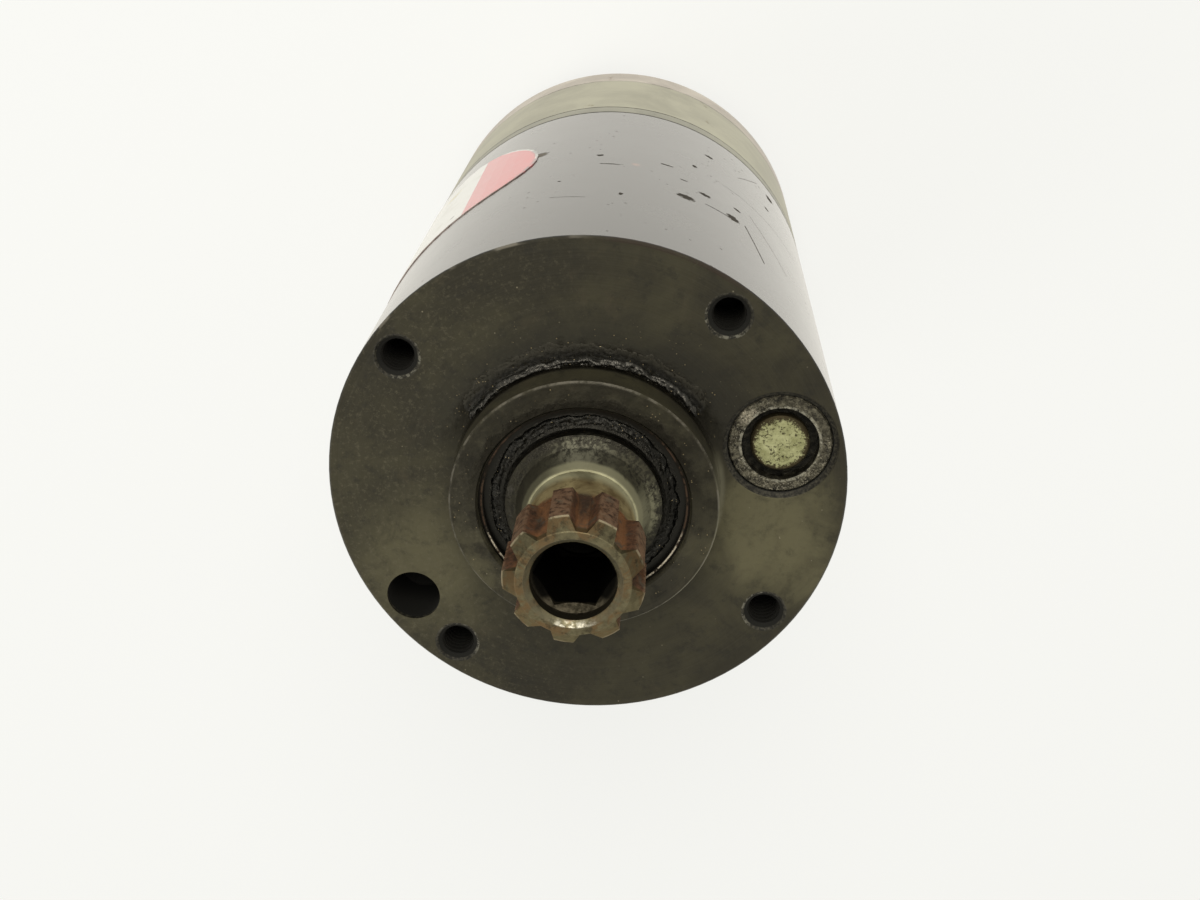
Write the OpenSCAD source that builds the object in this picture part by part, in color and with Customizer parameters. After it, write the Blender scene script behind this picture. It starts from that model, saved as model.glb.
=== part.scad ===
// Hydraulic steering unit: a rotary valve and a gear metering set in one round body.
// The unit stands on its rear screw heads. Z runs up the input shaft, X and Y cross it.
// Heights are worked up from the screw heads; depths are measured down from the mounting face.

/* [Body] */
// Outside diameter of the round body
body_d = 101.6; // [100:0.2:110]
// Length of the housing, from its rear joint to the mounting face
housing_len = 113.8; // [112:0.2:125]
// Edge break on the rims of the round sections
rim_break = 0.5; // [0.2:0.1:1.2]
// Thickness of the spacer plate behind the housing
plate_t = 6.3; // [4:0.1:10]
// Width of the gear ring
ring_w = 37.5; // [34:0.1:45]
// Thickness of the rear end cap
cap_t = 11.9; // [9:0.1:16]

/* [Nose] */
// Diameter of the round nose round the shaft
nose_d = 51.7; // [49:0.1:56]
// Height of the nose above the mounting face
nose_h = 9; // [8.4:0.1:12]
// Width of the sloped foot of the nose
nose_foot = 0.45; // [0.2:0.05:1.5]
// Edge break on the nose and on its mouth
nose_break = 0.4; // [0.2:0.1:0.8]

/* [Mounting face] */
// Distance of the tapped holes from the outside of the body
mount_inset = 6.1; // [5.6:0.1:7.5]
// Angle of the first tapped hole
mount_angle = 53.3; // [46:0.1:60]
// Wall diameter of a tapped hole, at the tops of its threads
mount_hole_d = 6.6; // [5:0.1:7.6]
// Depth of a tapped hole
mount_hole_depth = 16; // [10:0.5:20]
// Diameter of the countersink of a tapped hole
mount_sink_d = 8.6; // [7.8:0.1:9.2]
// Distance of the locating hole from the outside of the body
locate_inset = 7.5; // [7:0.1:9]
// Angle of the locating hole
locate_angle = -144.6; // [-150:0.1:-140]
// Diameter of the locating hole
locate_d = 10.8; // [8:0.1:12]
// Depth of the locating hole
locate_depth = 14; // [8:0.5:20]

/* [Input shaft] */
// Diameter of the ground journal and spool
journal_d = 30; // [28.5:0.1:31]
// Height of the journal's front edge above the mounting face
journal_out = 8.5; // [7.4:0.1:9.5]
// Diameter of the rounded shoulder in front of the journal
shoulder_d = 25.8; // [24:0.1:27]
// Diameter of the neck behind the spline
neck_d = 20.6; // [20.6:0.1:22]
// Height of the start of the neck above the mounting face
neck_start = 14.5; // [12:0.1:17]
// Height of the shaft end above the mounting face
shaft_out = 38.6; // [34:0.1:45]
// Outside diameter of the spline
spline_d = 25.2; // [24:0.1:27]
// Diameter at the floor of the spline slots
spline_root_d = 20.3; // [19.6:0.1:20.4]
// Length of the spline teeth
spline_len = 13.2; // [10:0.1:16]
// Number of spline teeth
spline_teeth = 9; // [8:1:10]
// Share of the pitch that a tooth takes at its tip
spline_tooth_share = 0.35; // [0.3:0.01:0.42]
// Width of a slot's floor as a share of its width at the tips
spline_taper = 0.34; // [0.28:0.01:0.5]
// Angle of the middle of one tooth
spline_angle = 101.5; // [90:0.5:110]
// Height of the slope on the front ends of the teeth, which runs in to their roots
spline_chamfer = 1.6; // [0.8:0.1:2.2]
// Diameter of the mouth of the shaft bore
socket_mouth_d = 15.4; // [15:0.1:16.4]
// Chamfer at the mouth of the shaft bore
socket_chamfer = 1; // [0.3:0.1:1.2]
// Depth of the round mouth, down to the hexagon
socket_mouth_depth = 3.4; // [2:0.1:6]
// Distance across the flats of the hexagon socket
socket_hex = 12.7; // [11:0.1:12.9]
// Depth of the hexagon socket from the shaft end
socket_depth = 22; // [16:0.5:26]

/* [Shaft sealing] */
// Radial step from the sleeve bore out to the bearing chamber
chamber_step = 1.25; // [1:0.05:2]
// Height of the seal gland's front face above the mounting face
gland_out = 6; // [5.4:0.1:6.4]
// Length of the seal gland
gland_len = 18; // [17:0.1:22]
// Thickness of the retaining ring
snap_t = 1.3; // [0.8:0.1:1.5]
// Radial width of the retaining ring that shows inside the bore
snap_lip = 0.9; // [0.5:0.1:1.3]
// Radial depth of the groove that holds the retaining ring
snap_groove = 1; // [0.6:0.1:1.4]
// Opening between the ends of the retaining ring
snap_gap = 7; // [3:0.5:12]
// Height of the dust seal
dust_h = 4.5; // [3.5:0.1:4.9]
// Thickness of the gland's wall round the dust seal
dust_wall = 1.85; // [1.4:0.05:2.4]
// Height of the groove for the shaft seal
quad_h = 4; // [3:0.1:4.5]
// Radial depth of the groove for the shaft seal
quad_depth = 3; // [2:0.1:3.4]
// Section of the o-ring on the gland
gland_cord = 1.8; // [1.4:0.1:2.2]

/* [Thrust bearing] */
// Thickness of a bearing race
race_t = 1.6; // [1:0.1:2.4]
// Diameter of a needle roller
needle_d = 2; // [1.6:0.1:2.6]
// Length of a needle roller
needle_len = 3; // [2.2:0.1:3.2]
// Number of needle rollers
needle_count = 18; // [12:1:20]

/* [Valve] */
// Outside diameter of the valve sleeve
sleeve_d = 38.1; // [37.5:0.1:39.5]
// Depth of the cross pin below the mounting face
pin_depth = 54.5; // [52:0.5:58]
// Diameter of the cross pin
pin_d = 6.35; // [5.5:0.05:7]
// Rest of the angle that the spool may turn in the sleeve, each way
shift_angle = 8; // [5:0.5:9]
// Bore of the spool round the drive link
spool_bore_d = 22; // [21.6:0.1:23]
// Height of the spool bore above the cross pin
spool_bore_rise = 13; // [11.5:0.5:16]
// Height of the leaf springs
leaf_h = 10; // [8:0.5:12]
// Thickness of one leaf spring
leaf_t = 0.6; // [0.4:0.05:0.7]
// Bow of a curved leaf spring
leaf_bow = 1.2; // [0.8:0.1:1.5]
// Diameter of a flow hole in the sleeve
flow_hole_d = 3; // [2:0.1:3.4]
// Number of flow holes in each row
flow_holes = 6; // [4:1:8]

/* [Gear set] */
// Radius of the circle on which the lobes of the ring are centred
lobe_circle_r = 35; // [34.4:0.1:35.6]
// Radius of a lobe of the ring
lobe_r = 9; // [8.6:0.1:9.4]
// Distance by which the rotor runs off centre
ecc = 2.8; // [2.4:0.05:3]
// Number of lobes of the ring, one more than the rotor has
ring_lobes = 7; // [7:1:7]
// Smallest gap between rotor and ring
gear_gap = 0.05; // [0.03:0.01:0.1]
// Diameter between the teeth tips inside the rotor
rotor_bore_d = 19.6; // [19:0.1:20.4]
// Depth of the tooth spaces inside the rotor
rotor_space_depth = 1.9; // [1.7:0.1:2.2]
// Number of teeth on the drive link
link_teeth = 12; // [12:1:12]
// Width of a tooth of the drive link
link_tooth_w = 2.1; // [1.8:0.1:2.3]
// Length of the toothed head of the drive link
link_head_len = 16; // [12:0.5:18]
// Diameter of the drive link between its ends
link_d = 15; // [12:0.5:16]
// Thickness of the spacer disc under the drive link
spacer_t = 6; // [4:0.5:8]

/* [Screws] */
// Distance of the screws outside the circle of the ring's lobes
screw_offset = 6.25; // [5.8:0.05:6.6]
// Shank diameter of a cap screw
screw_d = 7.94; // [7:0.02:8.2]
// Depth of engagement in the housing
screw_grip = 16; // [12:0.5:17]
// Distance across the flats of a screw head
screw_head_af = 12.7; // [11.5:0.1:13]
// Height of a screw head
screw_head_h = 5.4; // [4:0.1:6.5]
// Thickness of a washer
washer_t = 1.3; // [0.8:0.1:2]
// Outside diameter of a washer
washer_d = 15; // [14:0.1:16.4]

/* [Ports] */
// Depth of the flat that carries the ports
flat_depth = 6.8; // [6:0.1:8]
// Distance of the flat's front end from the mounting face
flat_front = 12; // [8:0.5:16]
// Distance of the flat's rear end from the rear joint
flat_rear = 24; // [22:0.5:26]
// Distance of each row of ports from the middle
port_x = 13; // [12.4:0.1:14]
// Depth of the upper ports below the mounting face
port_depth_a = 36; // [30:0.5:38]
// Depth of the lower ports below the mounting face
port_depth_b = 70; // [66:0.5:72]
// Wall diameter of a port, at the tops of its threads
port_d = 12.9; // [11:0.1:13.4]
// Length of the thread in a port
port_len = 13; // [10:0.5:15]
// Length by which the thread of the first port is longer
port_extra = 0.5; // [0.3:0.1:1]
// Diameter of the seat cut round a port
port_seat_d = 24; // [20:0.1:24.4]
// Diameter of the drilling behind a port
port_drill_d = 6.4; // [4:0.1:6.6]
// Offset of that drilling along the body, which keeps the port rings apart
port_shift = 3; // [2.8:0.1:3.4]

/* [Relief valve] */
// Distance of the relief valve from the outside of the body
relief_inset = 12.1; // [12:0.05:12.6]
// Angle of the relief valve
relief_angle = 14.6; // [8:0.1:20]
// Diameter of its recess in the mounting face
relief_d = 20.4; // [19:0.1:21]
// Depth of its recess
relief_recess = 6.2; // [5:0.1:7]
// Depth of the plug's front face below the mounting face
plug_sink = 0.9; // [0.3:0.1:1.6]
// Diameter of the round well in the plug
plug_well_d = 15; // [13:0.1:15.4]
// Diameter of the adjuster
adjuster_d = 11.4; // [10:0.1:12]
// Length of the plug behind its recess
plug_len = 10; // [8:0.5:12]
// Length of the relief spring inside the plug
spring_in = 6; // [5:0.5:7]
// Length of the relief spring behind the plug
spring_out = 6; // [5:0.5:8]
// Diameter of the poppet
poppet_d = 9.8; // [8:0.1:10]
// Length of the poppet
poppet_len = 14; // [12:0.5:16]
// Lift of the poppet
poppet_lift = 1.5; // [1:0.1:2]
// Wire diameter of the relief spring
spring_wire = 1.4; // [1:0.1:1.6]
// Turns of the relief spring
spring_turns = 5; // [4:1:6]

/* [Check ball] */
// Diameter of the check ball
ball_d = 6.35; // [5:0.05:6.4]
// Distance of the check ball from the end of its screw's thread
ball_rise = 12; // [10:0.5:14]
// Lift of the check ball
ball_lift = 1.5; // [1:0.1:2]

/* [Label] */
// Depth of the label's front edge below the mounting face
label_front = 44; // [40:0.5:50]
// Width of the label along the body
label_w = 54; // [40:0.5:56]
// Angle of the label's upper end
label_start = 107; // [100:1:120]
// Angle of the label's lower end
label_end = 229; // [200:1:232]
// Thickness of the label
label_t = 0.2; // [0.15:0.05:0.4]

/* [Hidden] */
$fn = 96;
// The rotor's outline is worked out at this many points
rotor_steps = 252;
// Overshoot of a cut past the face that it opens
over = 1;
// Clearance of parts that turn or slide in each other
run = 0.02;
// End float of parts that turn against each other
play = 0.05;
// Clearance of the seal gland and its bore
gland_gap = 0.05;
// Clearance of a screw in the pieces that it clamps
screw_gap = 0.3;
// Clearance of the check ball and its bore
ball_gap = 0.15;
// Clearance of the poppet and its bore
poppet_gap = 0.1;
// Slope of a drill's point
drill_slope = 0.6;
// Land behind the shaft seal's groove, and land between that groove and the cord's
gland_land = 2.4;
cord_land = 1.8;
// Room of the cord's groove along the gland, and its depth as a share of the cord
cord_room = 0.4;
cord_share = 0.85;
// Distance of the leaf springs from the front end of the sleeve
leaf_drop = 0.8;
// Leaves and gaps on each side of the spring slot, in leaf thicknesses, and the room beside them
leaf_stack = 3.2;
leaf_room = 0.1;
// Length of a screw's tapped hole past the screw
tap_room = 3;
// Room for the rotor's lobes in the ring, and the land round it, out to the ring seal
pocket_gap = 0.25;
seal_land = 1.4;
// Distance of the pocket passages inside the middle of the ring's lobes
passage_inset = 1.5;
// Overlap of a passage's upper end and the sleeve's bore
passage_reach = 2;
// Radial step from the plug's head to its body
plug_step = 2.2;
// Radial steps from the poppet's bore to the spring's room, and from there to the wire
spring_step = 0.3;

body_r = body_d / 2;
cap_z = screw_head_h + washer_t;
ring_z = cap_z + cap_t;
plate_z = ring_z + ring_w;
house_z = plate_z + plate_t;
face_z = house_z + housing_len;
nose_z = face_z + nose_h;
tip_z = face_z + shaft_out;

sleeve_r = sleeve_d / 2;
journal_r = journal_d / 2;
chamber_r = sleeve_r + run + chamber_step;
gland_top = face_z + gland_out;
gland_z = gland_top - gland_len;
needle_z = gland_z - race_t - play - needle_d / 2;
sleeve_top = needle_z - needle_d / 2 - play - race_t;
sleeve_low = house_z + play;
chamber_z = sleeve_top - race_t / 2;
pin_z = face_z - pin_depth;
leaf_z = sleeve_top - leaf_h - leaf_drop;
slot_w = 2 * (leaf_stack * leaf_t + leaf_bow + leaf_room);
dust_r = chamber_r - gland_gap - dust_wall;
seal_bore_r = journal_r + 5 * run;
quad_z = gland_z + gland_land;
cord_z = quad_z + quad_h + cord_land;
cord_h = gland_cord + cord_room;
cord_depth = gland_cord * cord_share;

screw_r = lobe_circle_r + screw_offset;
screw_a = 360 / ring_lobes;
tap_depth = screw_grip + tap_room;
ball_index = 4;
ball_bore_r = ball_d / 2 + ball_gap;
ball_z = house_z + screw_grip + ball_rise;
ball_cone_z = ball_z + ball_lift + play + ball_d / 2 * sqrt(2) - ball_bore_r;
ball_drain_d = 3;

pocket_r = lobe_circle_r - lobe_r + 2 * ecc + pocket_gap;
face_cord = 1.6;
face_seal_r = pocket_r + seal_land + face_cord / 2;
face_seal_depth = 1.3;
passage_r = lobe_circle_r - lobe_r / 2 - passage_inset;
passage_d = 4.8;
passage_rise = 26;
passage_slope = atan((passage_r - sleeve_r + passage_reach) / passage_rise);
link_nose = 0.8;
link_float = 0.15;
link_z = ring_z + spacer_t + link_float + link_nose + link_head_len / 2;
link_len = pin_z - link_z;
link_tilt = atan(ecc / link_len);

flat_y = body_r - flat_depth;
mount_r = body_r - mount_inset;
locate_r = body_r - locate_inset;
relief_r = body_r - relief_inset;
port_levels = [port_depth_a, port_depth_b];
port_ring_w = 3;
port_ring_depth = 2.3;
ring_levels = [for (d = port_levels) for (s = [-1, 1]) d + s * port_shift];
// The drilling between a port ring and the ball's chamber is narrower than the ring
drain_cross_d = port_ring_w - 0.6;
label_step = 3;
plug_top = face_z - plug_sink;
recess_z = face_z - relief_recess;
plug_body_d = relief_d - 2 * plug_step;
plug_gap = 1.6;
plug_low = recess_z - plug_len;
adjuster_low = plug_low + spring_in;
poppet_top = plug_low - spring_out;
poppet_low = poppet_top - poppet_len;
poppet_cone = 2;
poppet_hole_d = 4.4;
poppet_r = poppet_d / 2 - poppet_gap;
spring_d = poppet_d - 2 * spring_step;

// Helpers

module tube(r_out, r_in, h) {
    difference() {
        cylinder(r = r_out, h = h);
        translate([0, 0, -over]) cylinder(r = r_in, h = h + 2 * over);
    }
}

// A round section with both outer rims broken
module disc(r, h, edge) {
    rotate_extrude()
        polygon([[0, 0], [r - edge, 0], [r, edge], [r, h - edge], [r - edge, h], [0, h]]);
}

// A drilled hole that opens at z = 0, runs down and ends in the drill's cone
module drill(d, depth) {
    translate([0, 0, -depth]) cylinder(d = d, h = depth + over);
    translate([0, 0, -depth - d / 2 * drill_slope])
        cylinder(d1 = 0, d2 = d, h = d / 2 * drill_slope);
}

module o_ring(r, cord) {
    rotate_extrude() translate([r, 0]) circle(d = cord);
}

module at(r, a, z) {
    rotate([0, 0, a]) translate([r, 0, z]) children();
}

module at_screws(z) {
    for (k = [0 : ring_lobes - 1])
        at(screw_r, k * screw_a, z) children();
}

// Passages to the pockets lie half a pitch from the screws
module at_passages(z) {
    for (k = [0 : ring_lobes - 1])
        at(passage_r, (k + 0.5) * screw_a, z) children();
}

// Clamped round sections

module housing_blank() {
    foot_h = 2 * nose_foot;
    rotate_extrude()
        polygon([
            [0, house_z],
            [body_r - rim_break, house_z],
            [body_r, house_z + rim_break],
            [body_r, face_z - rim_break],
            [body_r - rim_break, face_z],
            [nose_d / 2 + nose_foot, face_z],
            [nose_d / 2, face_z + foot_h],
            [nose_d / 2, nose_z - nose_break],
            [nose_d / 2 - nose_break, nose_z],
            [0, nose_z]
        ]);
}

// The bore for the valve, its chamber, the snap ring groove and the port rings
module valve_bore() {
    translate([0, 0, house_z - over]) cylinder(r = sleeve_r + run, h = face_z - house_z);
    translate([0, 0, chamber_z]) cylinder(r = chamber_r, h = nose_z - chamber_z + over);
    translate([0, 0, nose_z - nose_break])
        cylinder(r1 = chamber_r, r2 = chamber_r + nose_break + over, h = nose_break + over);
    translate([0, 0, gland_top])
        cylinder(r = chamber_r + snap_groove, h = snap_t + play);
    for (d = ring_levels)
        translate([0, 0, face_z - d - port_ring_w / 2])
            cylinder(r = sleeve_r + port_ring_depth, h = port_ring_w);
}

// Milled flat with four ports, each drilled through to its own ring in the bore
module port_face() {
    flat_z = house_z + flat_rear;
    flat_len = face_z - flat_front - flat_z;
    translate([-body_r, -body_r - over, flat_z])
        cube([body_d, flat_depth + over, flat_len]);
    for (i = [0, 1])
        for (s = [-1, 1])
            translate([s * port_x, -flat_y, face_z - port_levels[i]]) rotate([90, 0, 0]) {
                port_hole(i == 0 && s < 0 ? port_len + port_extra : port_len);
                translate([0, -s * port_shift, -flat_y]) cylinder(d = port_drill_d, h = flat_y);
            }
}

// One port: seat, cone for the seal, and a bore that ends in the drill's cone
module port_hole(len) {
    seat = 0.5;
    cone = 2.4;
    cone_slope = 0.6;
    translate([0, 0, -seat]) cylinder(d = port_seat_d, h = seat + over);
    translate([0, 0, -seat - cone])
        cylinder(d1 = port_d, d2 = port_d + 2 * (cone + seat) * cone_slope, h = cone + seat);
    translate([0, 0, -seat]) drill(port_d, len);
}

// Holes in the mounting face: four tapped, one plain
module face_holes() {
    sink = (mount_sink_d - mount_hole_d) / 2;
    for (k = [0 : 3])
        at(mount_r, mount_angle + 90 * k, face_z) {
            drill(mount_hole_d, mount_hole_depth);
            translate([0, 0, -sink])
                cylinder(d1 = mount_hole_d, d2 = mount_sink_d + 2 * over, h = sink + over);
        }
    at(locate_r, locate_angle, face_z) drill(locate_d, locate_depth);
}

// Stepped bore of the relief valve, and the drilling that feeds it
module relief_bore() {
    feed_z = face_z - ring_levels[1];
    sink = 1.05;
    at(relief_r, relief_angle, 0) {
        translate([0, 0, recess_z]) cylinder(d = relief_d, h = relief_recess + over);
        translate([0, 0, face_z - sink])
            cylinder(d1 = relief_d, d2 = relief_d + 2 * (sink + over), h = sink + over);
        translate([0, 0, plug_low - play])
            cylinder(d = plug_body_d + 2 * run, h = recess_z - plug_low + play + over);
        translate([0, 0, poppet_low + poppet_cone])
            cylinder(d = poppet_d, h = plug_low - poppet_low - poppet_cone + over);
        translate([0, 0, poppet_low - play])
            cylinder(d1 = poppet_hole_d, d2 = poppet_d, h = poppet_cone + play);
        translate([0, 0, feed_z]) cylinder(d = poppet_hole_d, h = poppet_low - feed_z);
    }
    at(0, relief_angle, feed_z)
        rotate([0, 90, 0]) cylinder(d = poppet_hole_d - 1, h = relief_r);
}

// Screw threads, and behind one of them the chamber of the check ball
module rear_holes() {
    drain_z = face_z - ring_levels[3];
    at_screws(house_z) rotate([180, 0, 0]) drill(screw_d + 2 * run, tap_depth);
    at(screw_r, ball_index * screw_a, 0) {
        translate([0, 0, house_z]) cylinder(r = ball_bore_r, h = ball_cone_z - house_z);
        translate([0, 0, ball_cone_z])
            cylinder(r1 = ball_bore_r, r2 = 0, h = ball_bore_r);
        translate([0, 0, ball_cone_z])
            cylinder(d = ball_drain_d, h = drain_z + ball_drain_d / 2 - ball_cone_z);
    }
    at(0, ball_index * screw_a, drain_z)
        rotate([0, 90, 0]) cylinder(d = drain_cross_d, h = screw_r);
    at_passages(house_z)
        rotate([0, -passage_slope, 0])
            translate([0, 0, -over]) cylinder(d = passage_d, h = passage_rise + 2 * over);
}

module face_groove(z) {
    groove_half = face_cord / 2 + 0.1;
    translate([0, 0, z])
        tube(face_seal_r + groove_half, face_seal_r - groove_half, face_seal_depth + over);
}

module housing() {
    color([0.16, 0.15, 0.14])
        difference() {
            housing_blank();
            valve_bore();
            port_face();
            face_holes();
            relief_bore();
            rear_holes();
            face_groove(house_z - over);
        }
}

module spacer_plate() {
    color([0.3, 0.3, 0.27])
        difference() {
            translate([0, 0, plate_z]) disc(body_r, plate_t, rim_break / 2);
            translate([0, 0, plate_z - over]) cylinder(d = spool_bore_d + 1, h = plate_t + 2 * over);
            at_screws(plate_z - over) cylinder(d = screw_d + 2 * screw_gap, h = plate_t + 2 * over);
            at_passages(plate_z - over) cylinder(d = passage_d, h = plate_t + 2 * over);
            face_groove(plate_z - over);
        }
}

module gear_ring() {
    color([0.42, 0.41, 0.33])
        difference() {
            translate([0, 0, ring_z]) disc(body_r, ring_w, rim_break / 2);
            difference() {
                translate([0, 0, ring_z - over]) cylinder(r = pocket_r, h = ring_w + 2 * over);
                for (k = [0 : ring_lobes - 1])
                    at(lobe_circle_r, k * screw_a, ring_z - 2 * over)
                        cylinder(r = lobe_r, h = ring_w + 4 * over);
            }
            at_screws(ring_z - over) cylinder(d = screw_d + 2 * screw_gap, h = ring_w + 2 * over);
        }
}

module end_cap() {
    color([0.5, 0.45, 0.42])
        difference() {
            translate([0, 0, cap_z]) disc(body_r, cap_t, rim_break);
            at_screws(cap_z - over) cylinder(d = screw_d + 2 * screw_gap, h = cap_t + 2 * over);
            face_groove(ring_z - face_seal_depth);
        }
}

module housing_o_ring() {
    color("black") translate([0, 0, house_z + face_seal_depth / 2]) face_ring();
}

module plate_o_ring() {
    color("black") translate([0, 0, plate_z + face_seal_depth / 2]) face_ring();
}

module cap_o_ring() {
    color("black") translate([0, 0, ring_z - face_seal_depth / 2]) face_ring();
}

// A ring seal as it is when clamped: its round cord is pressed flat to the groove's depth
module face_ring() {
    h = face_seal_depth - 0.02;
    intersection() {
        o_ring(face_seal_r, face_cord);
        translate([0, 0, -h / 2]) cylinder(r = face_seal_r + face_cord, h = h);
    }
}

// Screws

module screw_head() {
    corner = screw_head_af / cos(30);
    end_d = screw_head_af * 0.96;
    bevel = 1.7;
    intersection() {
        cylinder(d = corner, h = screw_head_h, $fn = 6);
        cylinder(d1 = end_d, d2 = end_d + 2 * screw_head_h * bevel, h = screw_head_h);
    }
}

module cap_screw() {
    end_chamfer = 1;
    top = house_z + screw_grip;
    screw_head();
    cylinder(d = screw_d, h = top - end_chamfer);
    translate([0, 0, top - end_chamfer])
        cylinder(d1 = screw_d, d2 = screw_d - 2 * end_chamfer, h = end_chamfer);
}

module cap_screws() {
    color([0.35, 0.34, 0.32])
        for (k = [0 : ring_lobes - 1])
            if (k != ball_index)
                at(screw_r, k * screw_a, 0) cap_screw();
}

// This screw ends in a thin pin that the check ball rests on
module ball_stop_screw() {
    stop_d = ball_d * 0.7;
    color([0.35, 0.34, 0.32])
        at(screw_r, ball_index * screw_a, 0) {
            cap_screw();
            cylinder(d = stop_d, h = ball_z - ball_d / 2 - play);
        }
}

module screw_washers() {
    color([0.5, 0.45, 0.35])
        at_screws(screw_head_h) tube(washer_d / 2, screw_d / 2 + run, washer_t);
}

module check_ball() {
    color("silver") at(screw_r, ball_index * screw_a, ball_z) sphere(d = ball_d);
}

// Label

// Distances round the body at which the label's outline has a point: close together on its
// round ends, then in even steps
function label_steps(len, end_r) =
    let (
        ends = [for (q = [5 : 8.5 : 90]) end_r * (1 - cos(q))],
        n = ceil((len - 2 * end_r) / label_step)
    )
    concat(
        ends,
        [for (i = [1 : n - 1]) end_r + (len - 2 * end_r) * i / n],
        [for (i = [len(ends) - 1 : -1 : 0]) len - ends[i]]
    );

// Half the label's width at a distance from its end
function label_half(s, len, end_r) =
    let (q = max(0, end_r - min(s, len - s))) sqrt(end_r * end_r - q * q);

// A strip with round ends, wrapped round the body
module label() {
    end_r = label_w / 2;
    len = (label_end - label_start) * PI / 180 * body_r;
    mid = face_z - label_front - end_r;
    facet_half = 2;
    r_in = body_r / cos(facet_half) + 0.005;
    steps = label_steps(len, end_r);
    n = len(steps) - 1;
    points = [for (s = steps)
        let (a = label_start + s / body_r * 180 / PI, h = label_half(s, len, end_r))
        for (q = [[r_in, -h], [r_in + label_t, -h], [r_in + label_t, h], [r_in, h]])
            [q[0] * cos(a), q[0] * sin(a), mid + q[1]]];
    color([0.85, 0.15, 0.15])
        polyhedron(
            points = points,
            faces = concat(
                [[0, 1, 2, 3]],
                [for (j = [0 : n - 1]) for (i = [0 : 3])
                    let (k = (i + 1) % 4)
                    [4 * j + i, 4 * (j + 1) + i, 4 * (j + 1) + k, 4 * j + k]],
                [[4 * n + 3, 4 * n + 2, 4 * n + 1, 4 * n]]
            )
        );
}

// Shaft sealing

module retaining_ring() {
    gap_angle = 250;
    free = 0.15;
    color("silver")
        difference() {
            translate([0, 0, gland_top])
                tube(chamber_r + snap_groove - free, chamber_r - snap_lip, snap_t);
            rotate([0, 0, gap_angle])
                translate([0, -snap_gap / 2, gland_top - over])
                    cube([body_r, snap_gap, snap_t + 2 * over]);
        }
}

module seal_gland() {
    gland_r = chamber_r - gland_gap;
    color([0.35, 0.35, 0.35])
        difference() {
            translate([0, 0, gland_z]) disc(gland_r, gland_len, 0.3);
            translate([0, 0, gland_z - over]) cylinder(r = seal_bore_r, h = gland_len + 2 * over);
            translate([0, 0, gland_top - dust_h]) cylinder(r = dust_r, h = dust_h + over);
            translate([0, 0, quad_z]) cylinder(r = seal_bore_r + quad_depth, h = quad_h);
            translate([0, 0, cord_z]) tube(gland_r + over, gland_r - cord_depth, cord_h);
        }
}

// Ring of rubber with a wiping lip that rises round the journal
module dust_seal() {
    lip_r = journal_r + run;
    shoulder = 1.2;
    lip_rise = 0.9;
    lip_slope = 0.3;
    lip_back = 0.7;
    inner_gap = 0.9;
    inner_h = dust_h - 2;
    color([0.07, 0.07, 0.07])
        translate([0, 0, gland_top - dust_h])
            rotate_extrude()
                polygon([
                    [dust_r, 0],
                    [dust_r, dust_h],
                    [dust_r - shoulder, dust_h],
                    [lip_r + lip_back, dust_h + lip_rise],
                    [lip_r, dust_h + lip_rise - lip_slope],
                    [lip_r + inner_gap / 2, dust_h - shoulder],
                    [lip_r + inner_gap, inner_h],
                    [lip_r + inner_gap, 0]
                ]);
}

// Four-lobed ring that seals the journal
module shaft_seal() {
    in_r = journal_r + run;
    w = quad_depth + 4 * run;
    h = quad_h - 2 * play;
    dip = 0.5;
    color([0.1, 0.1, 0.1])
        translate([0, 0, quad_z + play])
            rotate_extrude()
                translate([in_r, 0])
                    polygon([
                        [0, dip], [dip, 0], [w / 2, dip], [w - dip, 0], [w, dip], [w - dip, h / 2],
                        [w, h - dip], [w - dip, h], [w / 2, h - dip], [dip, h], [0, h - dip], [dip, h / 2]
                    ]);
}

module gland_o_ring() {
    skin = 0.01;
    color("black")
        translate([0, 0, cord_z + cord_h / 2])
            intersection() {
                o_ring(chamber_r - gland_cord * 0.45, gland_cord);
                translate([0, 0, -cord_h / 2])
                    tube(chamber_r - skin, chamber_r - gland_gap - cord_depth + skin, cord_h);
            }
}

// Thrust bearing

module race(z) {
    side = 0.2;
    translate([0, 0, z]) tube(chamber_r - side, journal_r + side, race_t);
}

module front_race() {
    color("silver") race(gland_z - race_t);
}

module rear_race() {
    color("silver") race(sleeve_top);
}

module at_needles() {
    mid_r = (chamber_r + journal_r) / 2;
    for (k = [0 : needle_count - 1])
        at(mid_r, k * 360 / needle_count, needle_z) children();
}

module needle_cage() {
    cage_h = needle_d * 0.6;
    color([0.6, 0.55, 0.35])
        difference() {
            translate([0, 0, needle_z - cage_h / 2]) tube(chamber_r - 0.4, journal_r + 0.5, cage_h);
            at_needles() cube([needle_len + 0.1, needle_d + 0.1, cage_h + over], center = true);
        }
}

module needle_rollers() {
    color("silver")
        at_needles() rotate([0, 90, 0]) cylinder(d = needle_d, h = needle_len, center = true);
}

// Valve

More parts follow.
